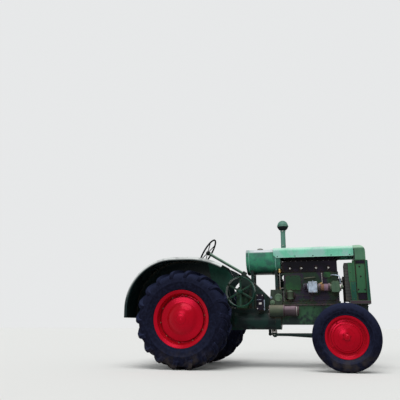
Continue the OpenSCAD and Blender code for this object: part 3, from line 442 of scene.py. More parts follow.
# Each finish goes by its own name, and the last ones by their slot's name too
painted("tank_paint", (0.024, 0.165, 0.092), (0.045, 0.23, 0.14), dust=0.1, wear=0.7, grime_and_shade=0.6,
    rough=(0.24, 0.46), coat=0.12, streaks=0.6, top_highlight=(0.5, 0.53, 0.55), patches=(0.03, 0.115, 0.085),
    shade_below=((0.004, 0.014, 0.012), 1.38, 1.47), highlight_span=(0.16, 0.42))
painted("stack_paint", (0.06, 0.165, 0.13), (0.1, 0.2, 0.16), wear=0.7, grime_and_shade=0.5, rough=(0.3, 0.55),
    coat=0.05, specks=0.9)
painted("radiator_paint", (0.038, 0.11, 0.066), (0.075, 0.165, 0.1), wear=0.8, grime_and_shade=0.6, cast=0.25,
    streaks=0.45, top_highlight=(0.27, 0.43, 0.31), highlight_span=(0.04, 0.4))
painted("block_paint", (0.009, 0.016, 0.013), (0.015, 0.046, 0.02), dust=0.12, wear=0.5, grime_and_shade=0.95,
    rough=(0.34, 0.68), cast=0.5, streaks=0.5, patches=(0.017, 0.013, 0.026))
painted("cover_paint", (0.011, 0.044, 0.017), (0.023, 0.075, 0.027), chip=VIOLET, dust=0.1, cast=0.3,
    specks=0.9, patches=(0.012, 0.034, 0.018))
painted("sage_paint", (0.045, 0.085, 0.055), (0.085, 0.14, 0.085), chip=VIOLET, cast=0.3,
    top_highlight=(0.2, 0.26, 0.18))
painted("clutch_paint", (0.013, 0.021, 0.016), (0.036, 0.05, 0.036), grime_and_shade=0.95, rough=(0.34, 0.66),
    cast=0.45, streaks=0.45, specks=0.9, top_highlight=(0.14, 0.18, 0.13), shade_below=((0.0065, 0.021, 0.018), 0.8, 0.9))
painted("teal_paint", (0.006, 0.038, 0.026), (0.014, 0.072, 0.05), dust=0.1, grime_and_shade=0.7, rough=(0.3, 0.55),
    specks=0.7)
painted("plate_paint", (0.015, 0.066, 0.03), (0.03, 0.098, 0.048), dust=0.1, wear=0.8, grime_and_shade=0.7,
    rough=(0.36, 0.62), streaks=0.5)
# Painted shade: the fender's paint is near black, for the shade under its crown and behind the tyre
painted("fender_shade_paint", (0.0028, 0.0075, 0.009), (0.006, 0.016, 0.016), wear=0.5, grime_and_shade=0.7,
    rough=(0.24, 0.45), coat=0.05, streaks=0.3, specks=0.6, specular=0.1, top_highlight=(0.52, 0.54, 0.53),
    highlight_span=(0.05, 0.4))
painted("column_paint", (0.02, 0.055, 0.04), (0.06, 0.11, 0.08), wear=0.8, grime_and_shade=0.6, rough=(0.3, 0.55),
    specks=0.9, top_highlight=(0.3, 0.42, 0.33))
# Painted shade: the case's paint is near black, for the shade below the belt pulley and by the tyre
painted("case_shade_paint", (0.0026, 0.0065, 0.008), (0.009, 0.019, 0.018), dust=0.06, grime_and_shade=0.95,
    rough=(0.34, 0.68), cast=0.4, specular=0.1, patches=(0.006, 0.022, 0.018))
painted("olive_paint", (0.03, 0.04, 0.028), (0.055, 0.07, 0.044), dust=0.12, grime_and_shade=0.8, specks=0.6,
    top_highlight=(0.13, 0.125, 0.09), shade_below=((0.006, 0.011, 0.009), 0.73, 0.81), streaks=0.25)
painted("cap_iron", (0.012, 0.007, 0.016), (0.03, 0.02, 0.034), dust=0.1, wear=0.4, grime_and_shade=0.5,
    rough=(0.3, 0.55), specks=0.5, streaks=0.25)
rusted("rusty_iron")
bare_metal("brass", (0.4, 0.27, 0.1), (0.13, 0.09, 0.04), rough=(0.35, 0.6))
bare_metal("steel", (0.3, 0.29, 0.28), (0.09, 0.065, 0.045), rough=(0.36, 0.66))
ceramic("plug_ceramic")
rubber("belt_rubber", (0.01, 0.01, 0.01), (0.035, 0.034, 0.032))
painted("coupling_paint", (0.13, 0.08, 0.11), (0.26, 0.16, 0.22), wear=0.7, grime_and_shade=0.8, rough=(0.4, 0.7),
    streaks=0.25)
core_fins("radiator_fins")
finishes.update({
    "pale_green_paint": painted("hood_paint", (0.11, 0.385, 0.26), (0.165, 0.475, 0.35), dust=0.2, wear=0.75,
        grime_and_shade=0.3, rough=(0.26, 0.46), coat=0.1, top_highlight=(0.46, 0.68, 0.57), patches=(0.2, 0.385, 0.335)),
    "green_paint": painted("casting_paint", (0.012, 0.036, 0.02), (0.034, 0.09, 0.046), chip=VIOLET,
        dust=0.12, wear=0.55, grime_and_shade=0.95, rough=(0.34, 0.68), cast=0.4, streaks=0.5, specks=0.9,
        patches=(0.012, 0.02, 0.02)),
    "dark_green_paint": painted("dark_paint", (0.007, 0.015, 0.014), (0.016, 0.032, 0.026), dust=0.12,
        rough=(0.38, 0.7), cast=0.3, streaks=0.3, specks=0.7),
    "red_paint": painted("wheel_paint", (0.24, 0.0012, 0.0045), (0.3, 0.0025, 0.009), chip=(0.09, 0.01, 0.01),
        dust=0, wear=0.2, grime_and_shade=0.12, rough=(0.2, 0.34), streaks=0.2, specks=0.15, specular=0.9,
        tint=(1.0, 0.03, 0.1)),
    "dark_iron": painted("oily_iron", (0.002, 0.0017, 0.0038), (0.0065, 0.006, 0.0095), dust=0.08, wear=0.4,
        rough=(0.36, 0.72), cast=0.5, streaks=0.2, specks=0.6, specular=0.06, patches=(0.0085, 0.006, 0.013)),
    "aluminium": bare_metal("cast_aluminium", (0.28, 0.34, 0.42), (0.08, 0.09, 0.11), rough=(0.38, 0.65),
        spots=0.8, metallic=0.4),
    "black_plastic": rubber("grip_rubber", (0.008, 0.009, 0.011), (0.022, 0.024, 0.024), dust=0.3),
    "brown_paint": painted("motor_paint", (0.035, 0.024, 0.03), (0.06, 0.045, 0.052), dust=0.12, wear=0.7,
        grime_and_shade=0.8, rough=(0.4, 0.7), top_highlight=(0.2, 0.14, 0.17), shade_below=((0.008, 0.006, 0.008), 0.73, 0.8),
        streaks=0.25),
    "tyre": rubber("tyre_rubber", (0.0028, 0.003, 0.0085), (0.018, 0.023, 0.052), dust=0.42, low_soil=0.4),
})

# Nodes whose finish isn't their slot's own
special = {
    "fuel_tank": "tank_paint", "air_stack": "stack_paint", "radiator_tanks": "radiator_paint",
    "radiator_sides": "plate_paint", "radiator_grille": "plate_paint", "radiator_core": "radiator_fins",
    "fenders": "fender_shade_paint", "steering_column": "column_paint", "belt_pulley": "teal_paint",
    # Painted shade: the tank cradle takes the case's near-black paint, for the shade behind the belt pulley
    "tank_cradle": "case_shade_paint", "engine_block": "block_paint", "governor_drive": "sage_paint",
    "transmission_case": "case_shade_paint", "rear_axle_housing": "case_shade_paint", "clutch_housing": "clutch_paint",
    "oil_filter": "olive_paint",
}


def dress_nodes():
    slots = {part["node"]: part["material_slot"] for part in frame["record"]["subparts"]}
    for name, node in frame["nodes"].items():
        finish = finishes[special.get(name, slots[name])]
        if not node.material_slots:
            node.data.materials.append(finish)
        for material_slot in node.material_slots:
            material_slot.material = finish


# Tyres and wheels

def tyre(side, place, outer, n):
    """A carcass turned from its outer half: (radius, distance out) from the bead to the tread's middle."""
    section = outer + [(r, -y) for r, y in reversed(outer) if y > 0]
    return Shape().lathe(section, place[side], SIDES[side] * Y, n)


LUGS = 18
LUG_LEAD = 92
LUG_SLANT = tan(radians(38))


def rear_tyre(side):
    """A driving wheel's tyre: a round carcass with slanted lugs that run down its shoulders."""
    axis = SIDES[side] * Y
    shape = tyre(side, rear_hub, [
        (369, 141.7), (395, 147.7), (402, 150), (408, 156), (418, 155.5), (422, 157.5), (460, 163),
        (500, 166.5), (507, 169), (514, 167.5), (545, 166), (575, 161), (598, 152), (615, 139), (628, 120),
        (637, 90), (643, 50), (645, 0)], 120)
    # A lug from its inner end to its foot: (radius, distance from the middle) in the carcass and on top
    steps = [((638, -10), (678.5, -8)), ((638, 30), (679.5, 30)), ((634, 70), (679.5, 72)),
             ((626, 100), (677.5, 104)), ((614, 122), (668, 126)), ((598, 139), (651, 146)),
             ((580, 150), (630, 161)), ((562, 156), (605, 166.5)), ((545, 159), (572, 166.5))]
    for half in (1, -1):
        for i in range(LUGS):
            turn = tau * (i + (0 if half * SIDES[side] > 0 else 0.5)) / LUGS
            out = Vector((sin(turn), 0, cos(turn)))
            ahead = Vector((cos(turn), 0, -sin(turn)))
            rings = []
            for foot, top in steps:
                corners = []
                for (r, y), wide in ((foot, -34), (top, -24), (top, 24), (foot, 34)):
                    x = LUG_LEAD - (y + 8) * LUG_SLANT + wide
                    reach = sqrt(r * r - x * x)
                    corners.append(rear_hub[side] + reach / 1000 * out + x / 1000 * ahead
                                   + half * y / 1000 * axis)
                rings.append(corners)
            shape.loft(rings)
    made = shape.piece("rear_tyre_rubber_" + side, "tyre", "rear_wheel_" + side, smooth=30, bevel=4)
    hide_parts("rear_tyre_" + side)


def front_tyre(side):
    """A steering wheel's tyre with three ribs."""
    tip = 500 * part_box("front_tyre_right")[1].z
    shape = tyre(side, front_hub, [
        (257, 61.7), (277, 66.7), (283, 69), (288, 74), (294, 73.5), (297, 75.5), (318, 88), (330, 92.5),
        (334, 94.5), (339, 93.5), (352, 95.5), (370, 94.5), (388, 88.5), (402, 82), (tip - 24, 72.5),
        (tip - 16, 66), (tip - 9, 56), (tip - 7, 48), (tip - 16, 44), (tip - 17, 30), (tip - 2, 24),
        (tip, 18), (tip, 0)], 108)
    made = shape.piece("front_tyre_rubber_" + side, "tyre", "front_wheel_" + side, smooth=32)
    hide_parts("front_tyre_" + side)


def wheel_trim(side):
    """Rim clamps, rings, bolts and valve stems on one side's wheels."""
    axis = SIDES[side] * Y
    centre, body = rear_hub[side], "rear_wheel_" + side
    clamps, studs = Shape(), Shape()
    for place in ring(centre, axis, 327, 10, 9):
        out = (place - centre).normalized()
        clamps.stem(place + 0.036 * axis, axis, [(20, 0), (20, 12), (15, 18)], 8)
        studs.stem(place + 0.052 * axis - 0.003 * out, axis, [(9.5, 0), (9.5, 10), (8, 12)])
    clamps.sleeve(centre, axis, 300.5, 70, 74.5, 2.5, 96)
    clamps.lathe([(66, 158.5), (68, 162.2), (73, 160.6), (76, 157)], centre, axis, 48)
    clamps.piece("rim_clamps_" + side, "red_paint", body)
    studs.stem(centre + 0.335 * Z + 0.040 * axis, axis, [(6, 0), (6, 28), (4.5, 30), (4.5, 42)], 20)
    studs.piece("rim_clamp_nuts_" + side, "rusty_iron", body)
    centre, body = front_hub[side], "front_wheel_" + side
    caps, nuts = Shape(), Shape()
    for r, y in ((168, 44.5), (112, 63.5), (40.5, 88)):
        caps.lathe([(r - 4, y - 4), (r - 3, y + 2.5), (r + 1, y + 3), (r + 4, y - 4)], centre, axis, 64)
    caps.stem(centre + 0.107 * axis, axis, [(14, 0), (14, 3.5), (10, 4.5)], 24)
    caps.piece("front_wheel_rings_" + side, "red_paint", body)
    for place in ring(centre, axis, 56, 6, 20):
        nuts.bolt(place + 0.0755 * axis, axis, 9)
    for place in ring(centre, axis, 217, 4, 33):
        nuts.stem(place + 0.012 * axis, axis, [(17, 0), (17, 8), (11, 9), (11, 18)])
    nuts.stem(centre + 0.226 * Z + 0.008 * axis, axis, [(5, 0), (5, 30), (4, 32), (4, 42)], 20)
    nuts.piece("front_wheel_nuts_" + side, "red_paint", body)


# Bolts and nuts

PORTS = (1467, 1633, 1845, 2021)
PULLEY_X, PULLEY_Z = 772, 1044
DRIVE_Y, DRIVE_Z = -205, 1102
FROM_EDGE = 12
BOTH = "right and left"


def frame_of(x, z, y, n):
    """Rows along the upper and lower edge of a cover between x[0] and x[1], z[0] and z[1]."""
    return [((x[0] + FROM_EDGE, x[1] - FROM_EDGE), y, h, n) for h in (z[0] + FROM_EDGE, z[1] - FROM_EDGE)]


def mirrored(rows):
    return [(x, -y, z, n) for x, y, z, n in rows]


def both_sides(rows):
    return rows + mirrored(rows)


# Name, axis, radius, finish, and rows as line() takes them. BOTH makes the rows on the right side and,
# with _left after the name, their mirror image.
BOLTS = [
    ("head_nuts", Z, 9, "steel", [((1400, 2110), y, 1490, 10) for y in (-120, 106)]),
    ("head_cover_nuts", Z, 8, "brass", [((1450, 2060), 0, 1550, 3)]),
    ("head_side_bolts", -Y, 7, "dark_iron", [((1415, 2105), -142, 1352, 8)]),
    ("block_cover_bolts", -Y, 7, "block_paint",
     frame_of((1396, 1622), (1068, 1288), -144, 4) + frame_of((1937, 2054), (1242, 1326), -144, 2)
     + frame_of((1408, 1738), (917, 993), -144, 5) + frame_of((1772, 2102), (917, 993), -144, 5)),
    ("sump_bolts", BOTH, 7, "dark_green_paint", [((1380, 2140), -160, 886, 11)]),
    ("gear_box_bolts", -Y, 7, "sage_paint", frame_of((2050, 2160), (1030, 1172), -272, 2)),
    ("gear_cover_bolts", Z, 6, "sage_paint", [((2076, 2134), y, 1186, 2) for y in (-243, -167)]),
    ("magneto_bolts", -Y, 6, "steel", [((1742, 1838), -275, 1038, 3), ((1745, 1836), -275, 1168, 2)]),
    ("frame_bolts", -Y, 11, "green_paint", [((1385, 1790), -190, 826, 4), ((2120, 2320), -190, 826, 3),
     ((1640, 2010), -190, 622, 4)]),
    ("frame_bolts_left", Y, 11, "green_paint", [((1385, 2320), 190, 826, 8), ((1385, 2010), 190, 622, 5)]),
    ("ledge_bolts", BOTH, 6, "green_paint", [((1370, 2500), -204, 857, 14)]),
    ("clutch_bolts", BOTH, 10, "clutch_paint", [(1322, -190, (1050, 640), 5)]),
    ("clutch_top_bolts", Z, 9, "clutch_paint", [(1275, (-165, -60), 1080, 2), (1275, (60, 165), 1080, 2)]),
    ("gear_side_bolts", BOTH, 9, "dark_green_paint", [(735, -96, (1010, 1240), 3),
     ((810, 1120), -96, (1290, 985), 4)]),
    ("case_top_bolts", Z, 9, "dark_green_paint",
     both_sides([((300, 680), -150, 815, 4), (1170, -130, 815, 1)])),
    ("radiator_side_bolts", BOTH, 9, "dark_iron", [((2445, 2453), -258, (1379, 1242), 2),
     ((2500, 2410), -258, 1060, 2)]),
    ("radiator_plate_bolts", BOTH, 7, "plate_paint", [(2345, -254, (935, 1140), 3),
     (2318, -248, (1200, 1410), 3)]),
    ("hood_bolts", BOTH, 6, "dark_iron", [((1300, 2326), -242, 1556, 5)]),
    ("bolster_bolts", X, 10, "green_paint", [(2528, (-120, 120), z, 2) for z in (760, 830)]),
    ("pulley_box_bolts", -Y, 8, "green_paint", [((712, 832), -300, 850, 3), ((712, 832), -300, 930, 2)]),
    ("seat_bolts", Z, 7, "steel", [((-460, -380), 0, 1197, 2), (-420, (-28, 28), 1197, 2)]),
    ("deck_bolts", Z, 7, "dark_green_paint", both_sides([((-530, 400), -300, 846, 6), (-530, -40, 846, 1)])),
    ("drawbar_bolts", -Z, 9, "dark_green_paint", [(x, (-45, 45), 398, 2) for x in (-215, 250)]),
    ("manifold_nuts", Z, 8, "rusty_iron", [(x, 190, 1450, 1) for x in PORTS]),
]


def bolts(name, finish, places, axis, r):
    shape = Shape()
    for place in places:
        shape.bolt(place - 0.0005 * axis, axis, r)
    shape.piece(name, finish)


def fasten():
    """The table's bolts, and those that stand in circles."""
    for name, axis, r, finish, rows in BOLTS:
        pieces = [(name, axis, rows)]
        if axis == BOTH:
            pieces = [(name, -Y, rows), (name + "_left", Y, mirrored(rows))]
        for piece, out, places in pieces:
            bolts(piece, finish, [p for row in places for p in line(*row)], out, r)
    # Circles: name, finish, centre, axis, radius of the circle, radius of a bolt, how many
    circles = [(name + side, "case_shade_paint", (0, SIDES[side] * y, 660), SIDES[side] * Y, circle_r, r, n)
               for name, y, circle_r, r, n in (("housing_flange_bolts_", 250, 150, 10, 12),
                                               ("drum_cover_bolts_", 226, 192, 8, 10))
               for side in ("right", "left")]
    circles += [("starter_bolts", "steel", (1166, -272.3, 772), -X, 62, 8, 6),
                ("coupling_bolts_rear", "steel", (1872, DRIVE_Y, DRIVE_Z), -X, 45, 5, 6),
                ("coupling_bolts_front", "steel", (2030, DRIVE_Y, DRIVE_Z), X, 45, 5, 6)]
    for name, finish, centre, axis, circle_r, r, n in circles:
        bolts(name, finish, ring(at(*centre), axis, circle_r, n, 15), axis, r)


# Sheet metal: hood, tank, stack and radiator

def barrel(inset):
    """The tank's outline in the front view, as part.scad draws it, from its lower side over the top."""
    w, h, r = 233 - inset, 132 - inset, 60
    points = arc(0, 0, w, range(-90, 1, 6)) + arc(w - r, h - r, r, range(0, 91, 9))
    return points + [(-y, z) for y, z in reversed(points)]


def tank_and_hood():
    beads = Shape()
    for x in (874, 1268):
        rings = []
        for y, z in barrel(4):
            out = Vector((0, y, z + 40)).normalized()
            place = at(x, y, 1543 + z)
            section = ((-0.006, -0.002), (-0.003, 0.003), (0.003, 0.003), (0.006, -0.002))
            rings.append([place + h * out + s * X for s, h in section])
        beads.loft(rings)
    beads.piece("tank_beads", "pale_green_paint")
    cap = Shape().sleeve(at(1020, 0, 1709), Z, 42, -22, -2, 2.5)
    cap.stem(at(1020, 0, 1708.5), Z, [(36, 0), (34, 5), (14, 8), (12, 12)], 24)
    for place in ring(at(1020, 0, 1698), Z, 43.5, 16):
        cap.stem(place - 0.009 * Z, Z, [(3.5, 0), (3.5, 17)], 8)
    cap.piece("filler_cap", "steel")
    trim = Shape()
    for side in (LEFT, RIGHT):
        y = side * 242
        trim.tube(line((1284, 2374), y, 1541, 2), 3.5, 8)
        trim.tube(line(1240, (side * 241, y), (1584, 1634), 2), 3, 8)
        for x in (1262, 2352):
            place = at(x, y, 1575)
            trim.block(place + Vector((-0.007, -0.0015, -0.012)), place + Vector((0.007, 0.0015, 0.03)))
    trim.piece("hood_edges", "pale_green_paint")
    seam = Shape()
    for a, b in ((1440, 2372), (1242, 1318)):
        seam.plate([at(a, -14, 1689.6), at(a, -12, 1692), at(a, 12, 1692), at(a, 14, 1689.6)],
                   ((b - a) / 1000, 0, 0))
    for place in line((1462, 2352), 0, 1692, 14):
        seam.stem(place - 0.0005 * Z, Z, [(5, 0), (4, 2), (2, 3)], 10)
    seam.piece("hood_seam", "pale_green_paint")


def stack():
    """The dark bowl under the ball, the seam round it, and the clamps on the pipe."""
    x, r = 1376, 80
    ball = at(x, 0, 2058)
    outer = arc(0, 0, r + 3.5, range(-64, -3, 6))
    bowl = Shape().lathe([(30, outer[0][1] + 4)] + outer + [(r - 3, outer[-1][1])], ball, Z, 64)
    bowl.piece("cleaner_bowl", "black_plastic")
    seams = Shape().sleeve(ball, Z, 79.5, 1, 7, 4, 64)
    seams.sleeve(at(x, 0, 1741), Z, 36, 0, 14, 3).sleeve(at(x, 0, 1958), Z, 36, 0, 20, 4)
    seams.piece("stack_bands", "stack_paint")
    clamp = Shape()
    for z in (1748, 1968):
        clamp.block(at(1369, -46, z - 6), at(1383, -37, z + 6))
        clamp.stem(at(1366, -42, z), X, [(4, 0), (4, 20)])
    for place in ring(at(x, 0, 1708), Z, 44, 4, 45):
        clamp.bolt(place, Z, 5)
    clamp.piece("stack_clamps", "steel")


def radiator():
    bands = Shape()
    for side in (LEFT, RIGHT):
        for x, y, z in (((2380, 2530), side * 260, 1474), ((2382, 2516), side * 252, 1424)):
            bands.block(at(x[0], y - 3, z), at(x[1], y + 3, z + 8))
        for x, z in ((2398, (1024, 1411)), (2512, (1024, 1411)), ((2398, 2512), 1411)):
            bands.tube(line(x, side * 258, z, 2), 3.5, 8)
    bands.piece("radiator_beads", "plate_paint")
    facings("radiator_upper_plates", "plate_paint", [((2291, 2380), 249, (1172, 1436))])
    facings("radiator_lower_plates", "teal_paint", [((2317, 2380), 255, (914, 1164)),
                                                    ((2533, 2560), 262.8, (916, 1468))])
    facings("radiator_shadow_gaps", "dark_iron", [
        ((2378.5, 2392), 262.5, (1478, 1636)), ((2398, 2512), 259, (1422, 1464)),
        ((2402, 2520), 259, (924, 1010)), ((2386, 2392), 259, (1020, 1460)),
        ((2516, 2523), 259.5, (1020, 1462)), ((2296, 2380), 250, (1164, 1172))])
    facings("radiator_foot_faces", "brown_paint", [((2290, 2566), 262.6, (867, 908))])
    front = Shape().block(at(2530, -232, 1462), at(2541, 232, 1474))
    for place in line(2540, (-215, 215), 1468, 9):
        front.bolt(place, X, 6)
    front.piece("radiator_strip", "radiator_paint")
    outlet = curve(6, (2095, 0, 1486), (2140, 0, 1530), (2230, 0, 1588), (2382, 0, 1600))
    Shape().tube(outlet, 30, 20).piece("water_outlet", "green_paint")
    Shape().sleeve(at(2352, 0, 1598), X, 30, 0, 14, 3).piece("water_outlet_clip", "steel")


# Engine's right side

def engine():
    head = Shape()
    for x in PORTS:
        head.lathe([(23.5, -2), (24.5, 3), (28.5, 3), (30, -2)], at(x, -142, 1390), -Y, 32)
    head.block(at(1374, -143.5, 1334), at(2140, -140, 1342))
    head.piece("head_rings", "dark_iron")
    Shape().block(at(1350, -136, 1334), at(1372.5, 130, 1488)).piece("head_rear_cover", "dark_iron", bevel=4)
    plugs = Shape()
    for x in PORTS:
        plugs.stem(at(x, -90, 1390), -Y, [(15.5, 0), (15.5, 6)])
        plugs.stem(at(x, -155, 1390), -Y, [(3.5, 0), (3.5, 9), (6, 10), (6, 14)], 12)
    plugs.piece("plug_hexagons", "steel")
    # Worn paint on the covers and on the ledge
    covers = [((1400, 1618), 144.6, (1072, 1284)), ((1941, 2050), 144.6, (1246, 1322))]
    facings("block_covers", "cover_paint", covers, [RIGHT], 3, 0.5)
    facings("block_ledge", "brown_paint", [((1347, 2344), 204.6, (850, 864))], [RIGHT], 3, 0.5)
    pipe = curve(5, (1672, -128, 1234), (1682, -148, 1237), (1748, -152, 1243), (1815, -148, 1249),
                         (1825, -128, 1250))
    Shape().tube(pipe, 9.5).piece("oil_pipe", "olive_paint")
    pipe = curve(6, (2050, -142, 1277), (2066, -168, 1279), (2120, -184, 1273), (2159, -194, 1258),
                         (2171, -202, 1215), (2171, -203, 1152))
    breather = Shape().tube(pipe, 8.5).sleeve(at(2171, -203, 1156), Z, 8.5, 0, 12, 4, 20)
    breather.piece("breather_pipe", "aluminium")
    links = Shape().tube(line(1921, (-134, -204), 1300, 2), 5, 8)
    links.tube(line((1921, 1923), (-200, -204), (1308, 1162), 2), 5, 10)
    links.sleeve(at(1921, -200, 1296), Z, 5, -8, 8, 4, 16)
    links.piece("governor_rod", "steel")
    outline = ((1868, 1143), (1872, 1156), (1926, 1174), (1932, 1163), (1886, 1146))
    lever = Shape().plate([at(x, -208, z) for x, z in outline], (0, 0.008, 0))
    lever.stem(at(1872, -210, 1149), -Y, [(8, 0), (8, 7)])
    lever.piece("governor_lever", "brass", bevel=1)
    # Magneto's dark cap with its rim and clips, and the worn brown middle of the coupling
    cap = at(1664, -218, 1115)
    shell = Shape().sleeve(cap, X, 46, 2, 50, 2.2)
    shell.stem(cap, -X, [(44, -2), (44, 3), (34, 9), (12, 11)], 40)
    for place in ring(cap, X, 26, 4, 45):
        shell.stem(place, -X, [(8.5, 4), (8.5, 20), (6, 22)], 12)
    shell.piece("magneto_cap", "cap_iron")
    trim = Shape().sleeve(cap, X, 46, 54, 64, 5)
    for z in (1162, 1068):
        trim.block(at(1682, -223, z - 2), at(1728, -213, z + 2))
    trim.stem(at(1790, -215, 1182), Z, [(12, 0), (12, 6), (8, 10), (8, 16)], 16)
    trim.block(at(1742, -276.5, 1066), at(1838, -274.5, 1078))
    trim.piece("magneto_trim", "aluminium")
    drive = at(1850, DRIVE_Y, DRIVE_Z)
    Shape().sleeve(drive, X, 46, 96, 154, 3).piece("coupling_sleeve", "coupling_paint")
    Shape().sleeve(drive, X, 46, 48, 94, 1.8).piece("coupling_disc", "rusty_iron")
    collars = Shape().sleeve(drive, X, 54, 22, 46, 2).sleeve(drive, X, 54, 156, 180, 2)
    collars.sleeve(drive, X, 46, 3, 18, 3).piece("coupling_collars", "brown_paint")
    disc = Shape().sleeve(at(2160, DRIVE_Y, DRIVE_Z), X, 52, 1, 21, 2.5)
    disc.stem(at(2202, DRIVE_Y, DRIVE_Z), X, [(16, -1), (16, 6), (12, 8)])
    disc.piece("governor_disc", "steel")
    foot = at(1462, -188, 944)
    bands = Shape().sleeve(foot, Z, 42, 2, 12, 3.5).sleeve(foot, Z, 42, 96, 111, 3)
    bands.stem(foot + 0.112 * Z, Z, [(34, -1), (30, 4), (9, 6), (9, 12)], 24)
    bands.piece("filter_bands", "sage_paint")
    pipes = Shape().tube(curve(5, (1412, -132, 1036), (1404, -176, 1030), (1402, -190, 1000),
                                       (1404, -186, 950), (1412, -150, 940)), 11, 10)
    pipes.tube(curve(5, (1520, -132, 1010), (1524, -168, 1006), (1522, -176, 975), (1516, -146, 948)),
               9, 10)
    pipes.piece("filter_pipes", "dark_iron")


def starter():
    """The starter's drum, bands and clamp, and the side box's latch and rod."""
    drum = at(1166, -272.3, 772)
    Shape().sleeve(drum, X, 82, 4, 208, 1.5, 64).piece("starter_drum", "olive_paint")
    rings = Shape()
    for r, a, b, t in ((82, 1, 10, 3), (82, 198, 212, 3), (68, 380, 395, 4), (58, 402, 413, 3)):
        rings.sleeve(drum, X, r, a, b, t, 64)
    out = Vector((0, -57, 37)).normalized()
    rings.stem(at(1535, -327, 809), out, [(15, -4), (15, 4), (6, 4), (6, 18)], 12)
    rings.piece("starter_rings", "brown_paint")
    Shape().sleeve(drum, X, 68, 383, 392, 5, 64).piece("starter_clamp", "steel")
    Shape().sleeve(drum, X, 68, 300, 372, 2, 64).piece("starter_band", "brown_paint")
    box = Shape().block(at(1022, -333, 864), at(1062, -329, 892))
    for x, z in ((1000, 992), (1072, 992), (1000, 806)):
        box.bolt(at(x, -330, z), -Y, 6)
    box.piece("side_box_latch", "steel")
    rod = Shape().tube(line(1100, -322, (782, 930), 2), 6, 10)
    for z in (800, 912):
        rod.tube(line((1080, 1100), -322, z, 2), 4, 8)
    rod.block(at(990, -331.5, 930), at(1060, -329, 934))
    rod.piece("side_box_rod", "aluminium")


def fuel_line():
    """The line from the tank down to the clutch housing, with its cock and fittings."""
    x, y = 1318, -150
    pipe = Shape().tube(line(x, y, (1384, 1079), 2), 6)
    pipe.tube(curve(5, (x, y, 1110), (1330, y, 1100), (1352, -146, 1102), (1376, -128, 1104)), 5, 10)
    pipe.piece("fuel_line", "steel")
    steps = [(17, 0), (17, 14), (12, 16), (12, 30), (21, 32), (21, 62), (10, 70)]
    bowl = Shape().stem(at(x, y, 1392), -Z, steps, 24)
    for z in (1086, 1114):
        bowl.stem(at(x, y, z), -Z, [(11, 0), (11, 12)])
    bowl.stem(at(x, y - 8, 1372), -Y, [(5, 0), (5, 16), (10, 18), (10, 24)], 12)
    bowl.piece("fuel_cock", "brass")


# Left side and drive line

def left_side():
    """Bands on the air cleaner and the carburettor, and collars on the exhaust."""
    bands = Shape()
    for z in (915, 1060, 1225):
        bands.sleeve(at(1290, 252, z), Z, 62, 0, 14, 3)
    bands.stem(at(1290, 252, 1261), Z, [(40, 0), (38, 4)], 24)
    foot = at(1739, 186.3, 1184)
    bands.sleeve(foot, Z, 42, 4, 16, 3).sleeve(foot, Z, 42, 88, 104, 3)
    bands.sleeve(at(1739, 186.3, 1362), Z, 24, 0, 10, 14)
    bands.stem(at(1739, 186.3, 1182), -Z, [(30, -2), (20, 8), (8, 10), (8, 18)], 24)
    bands.piece("intake_bands", "steel")
    collars = Shape()
    for x in PORTS:
        collars.sleeve(at(x, 124.5, 1420), Y, 27, 0, 12, 10, 32)
    for x in (1500, 2000):
        collars.sleeve(at(x, 186.3, 1420), X, 34, 0, 14, 4, 32)
    collars.sleeve(at(1961, 246, 720), Z, 25, 0, 18, 4, 32)
    collars.piece("manifold_collars", "rusty_iron")


def drive_line():
    """Plugs and caps on the housings, the belt pulley's nut, and the cap of the radius rods' ball."""
    plugs = Shape()
    for side in (LEFT, RIGHT):
        out = side * Y
        plugs.stem(at(150, side * 194, 520), out, [(20, -10), (20, 6), (13, 6), (13, 18)])
        plugs.stem(at(0, side * 520, 660), out, [(56, -2), (56, 4), (50, 5)], 32)
        for place in ring(at(0, side * 494, 660), out, 106, 8, 22):
            plugs.bolt(place - 0.024 * out, -out, 8)
    plugs.piece("drive_line_plugs", "steel")
    place = at(1204, -188, 892)
    cap = Shape().stem(place, -Y, [(36, 0), (36, 12), (31, 18), (14, 18), (12, 27)], 32)
    cap.stem(at(1290, -188, 965), -Y, [(56, 0), (56, 6), (46, 10), (44, 4), (20, 4)], 40)
    cap.piece("clutch_cap", "sage_paint")
    Shape().sleeve(place, -Y, 36, 1, 5, 4, 40).piece("clutch_cap_rim", "dark_iron")
    stud = Shape().stem(at(1186, -189, 966), -Y, [(17, 0), (17, 12), (9, 14), (9, 22)])
    stud.piece("clutch_studs", "aluminium")
    nut = Shape().stem(at(PULLEY_X, -472, PULLEY_Z), -Y, [(22, 0), (22, 12), (12, 13), (12, 18)])
    nut.piece("belt_pulley_nut", "teal_paint", "belt_pulley")
    ball = Shape().block(at(1160, -26, 468), at(1236, 26, 486))
    for x in (1172, 1224):
        for y in (-14, 14):
            ball.bolt(at(x, y, 485.5), Z, 6)
    for side in (RIGHT, LEFT):
        for x in (1182, 1222):
            ball.bolt(at(x, side * 18, 505), side * Y, 9)
    ball.sleeve(at(1205, 0, 440), Z, 38, -4, 4, 3)
    ball.piece("radius_ball_cap", "steel")


# Steering, axle and the operator's place

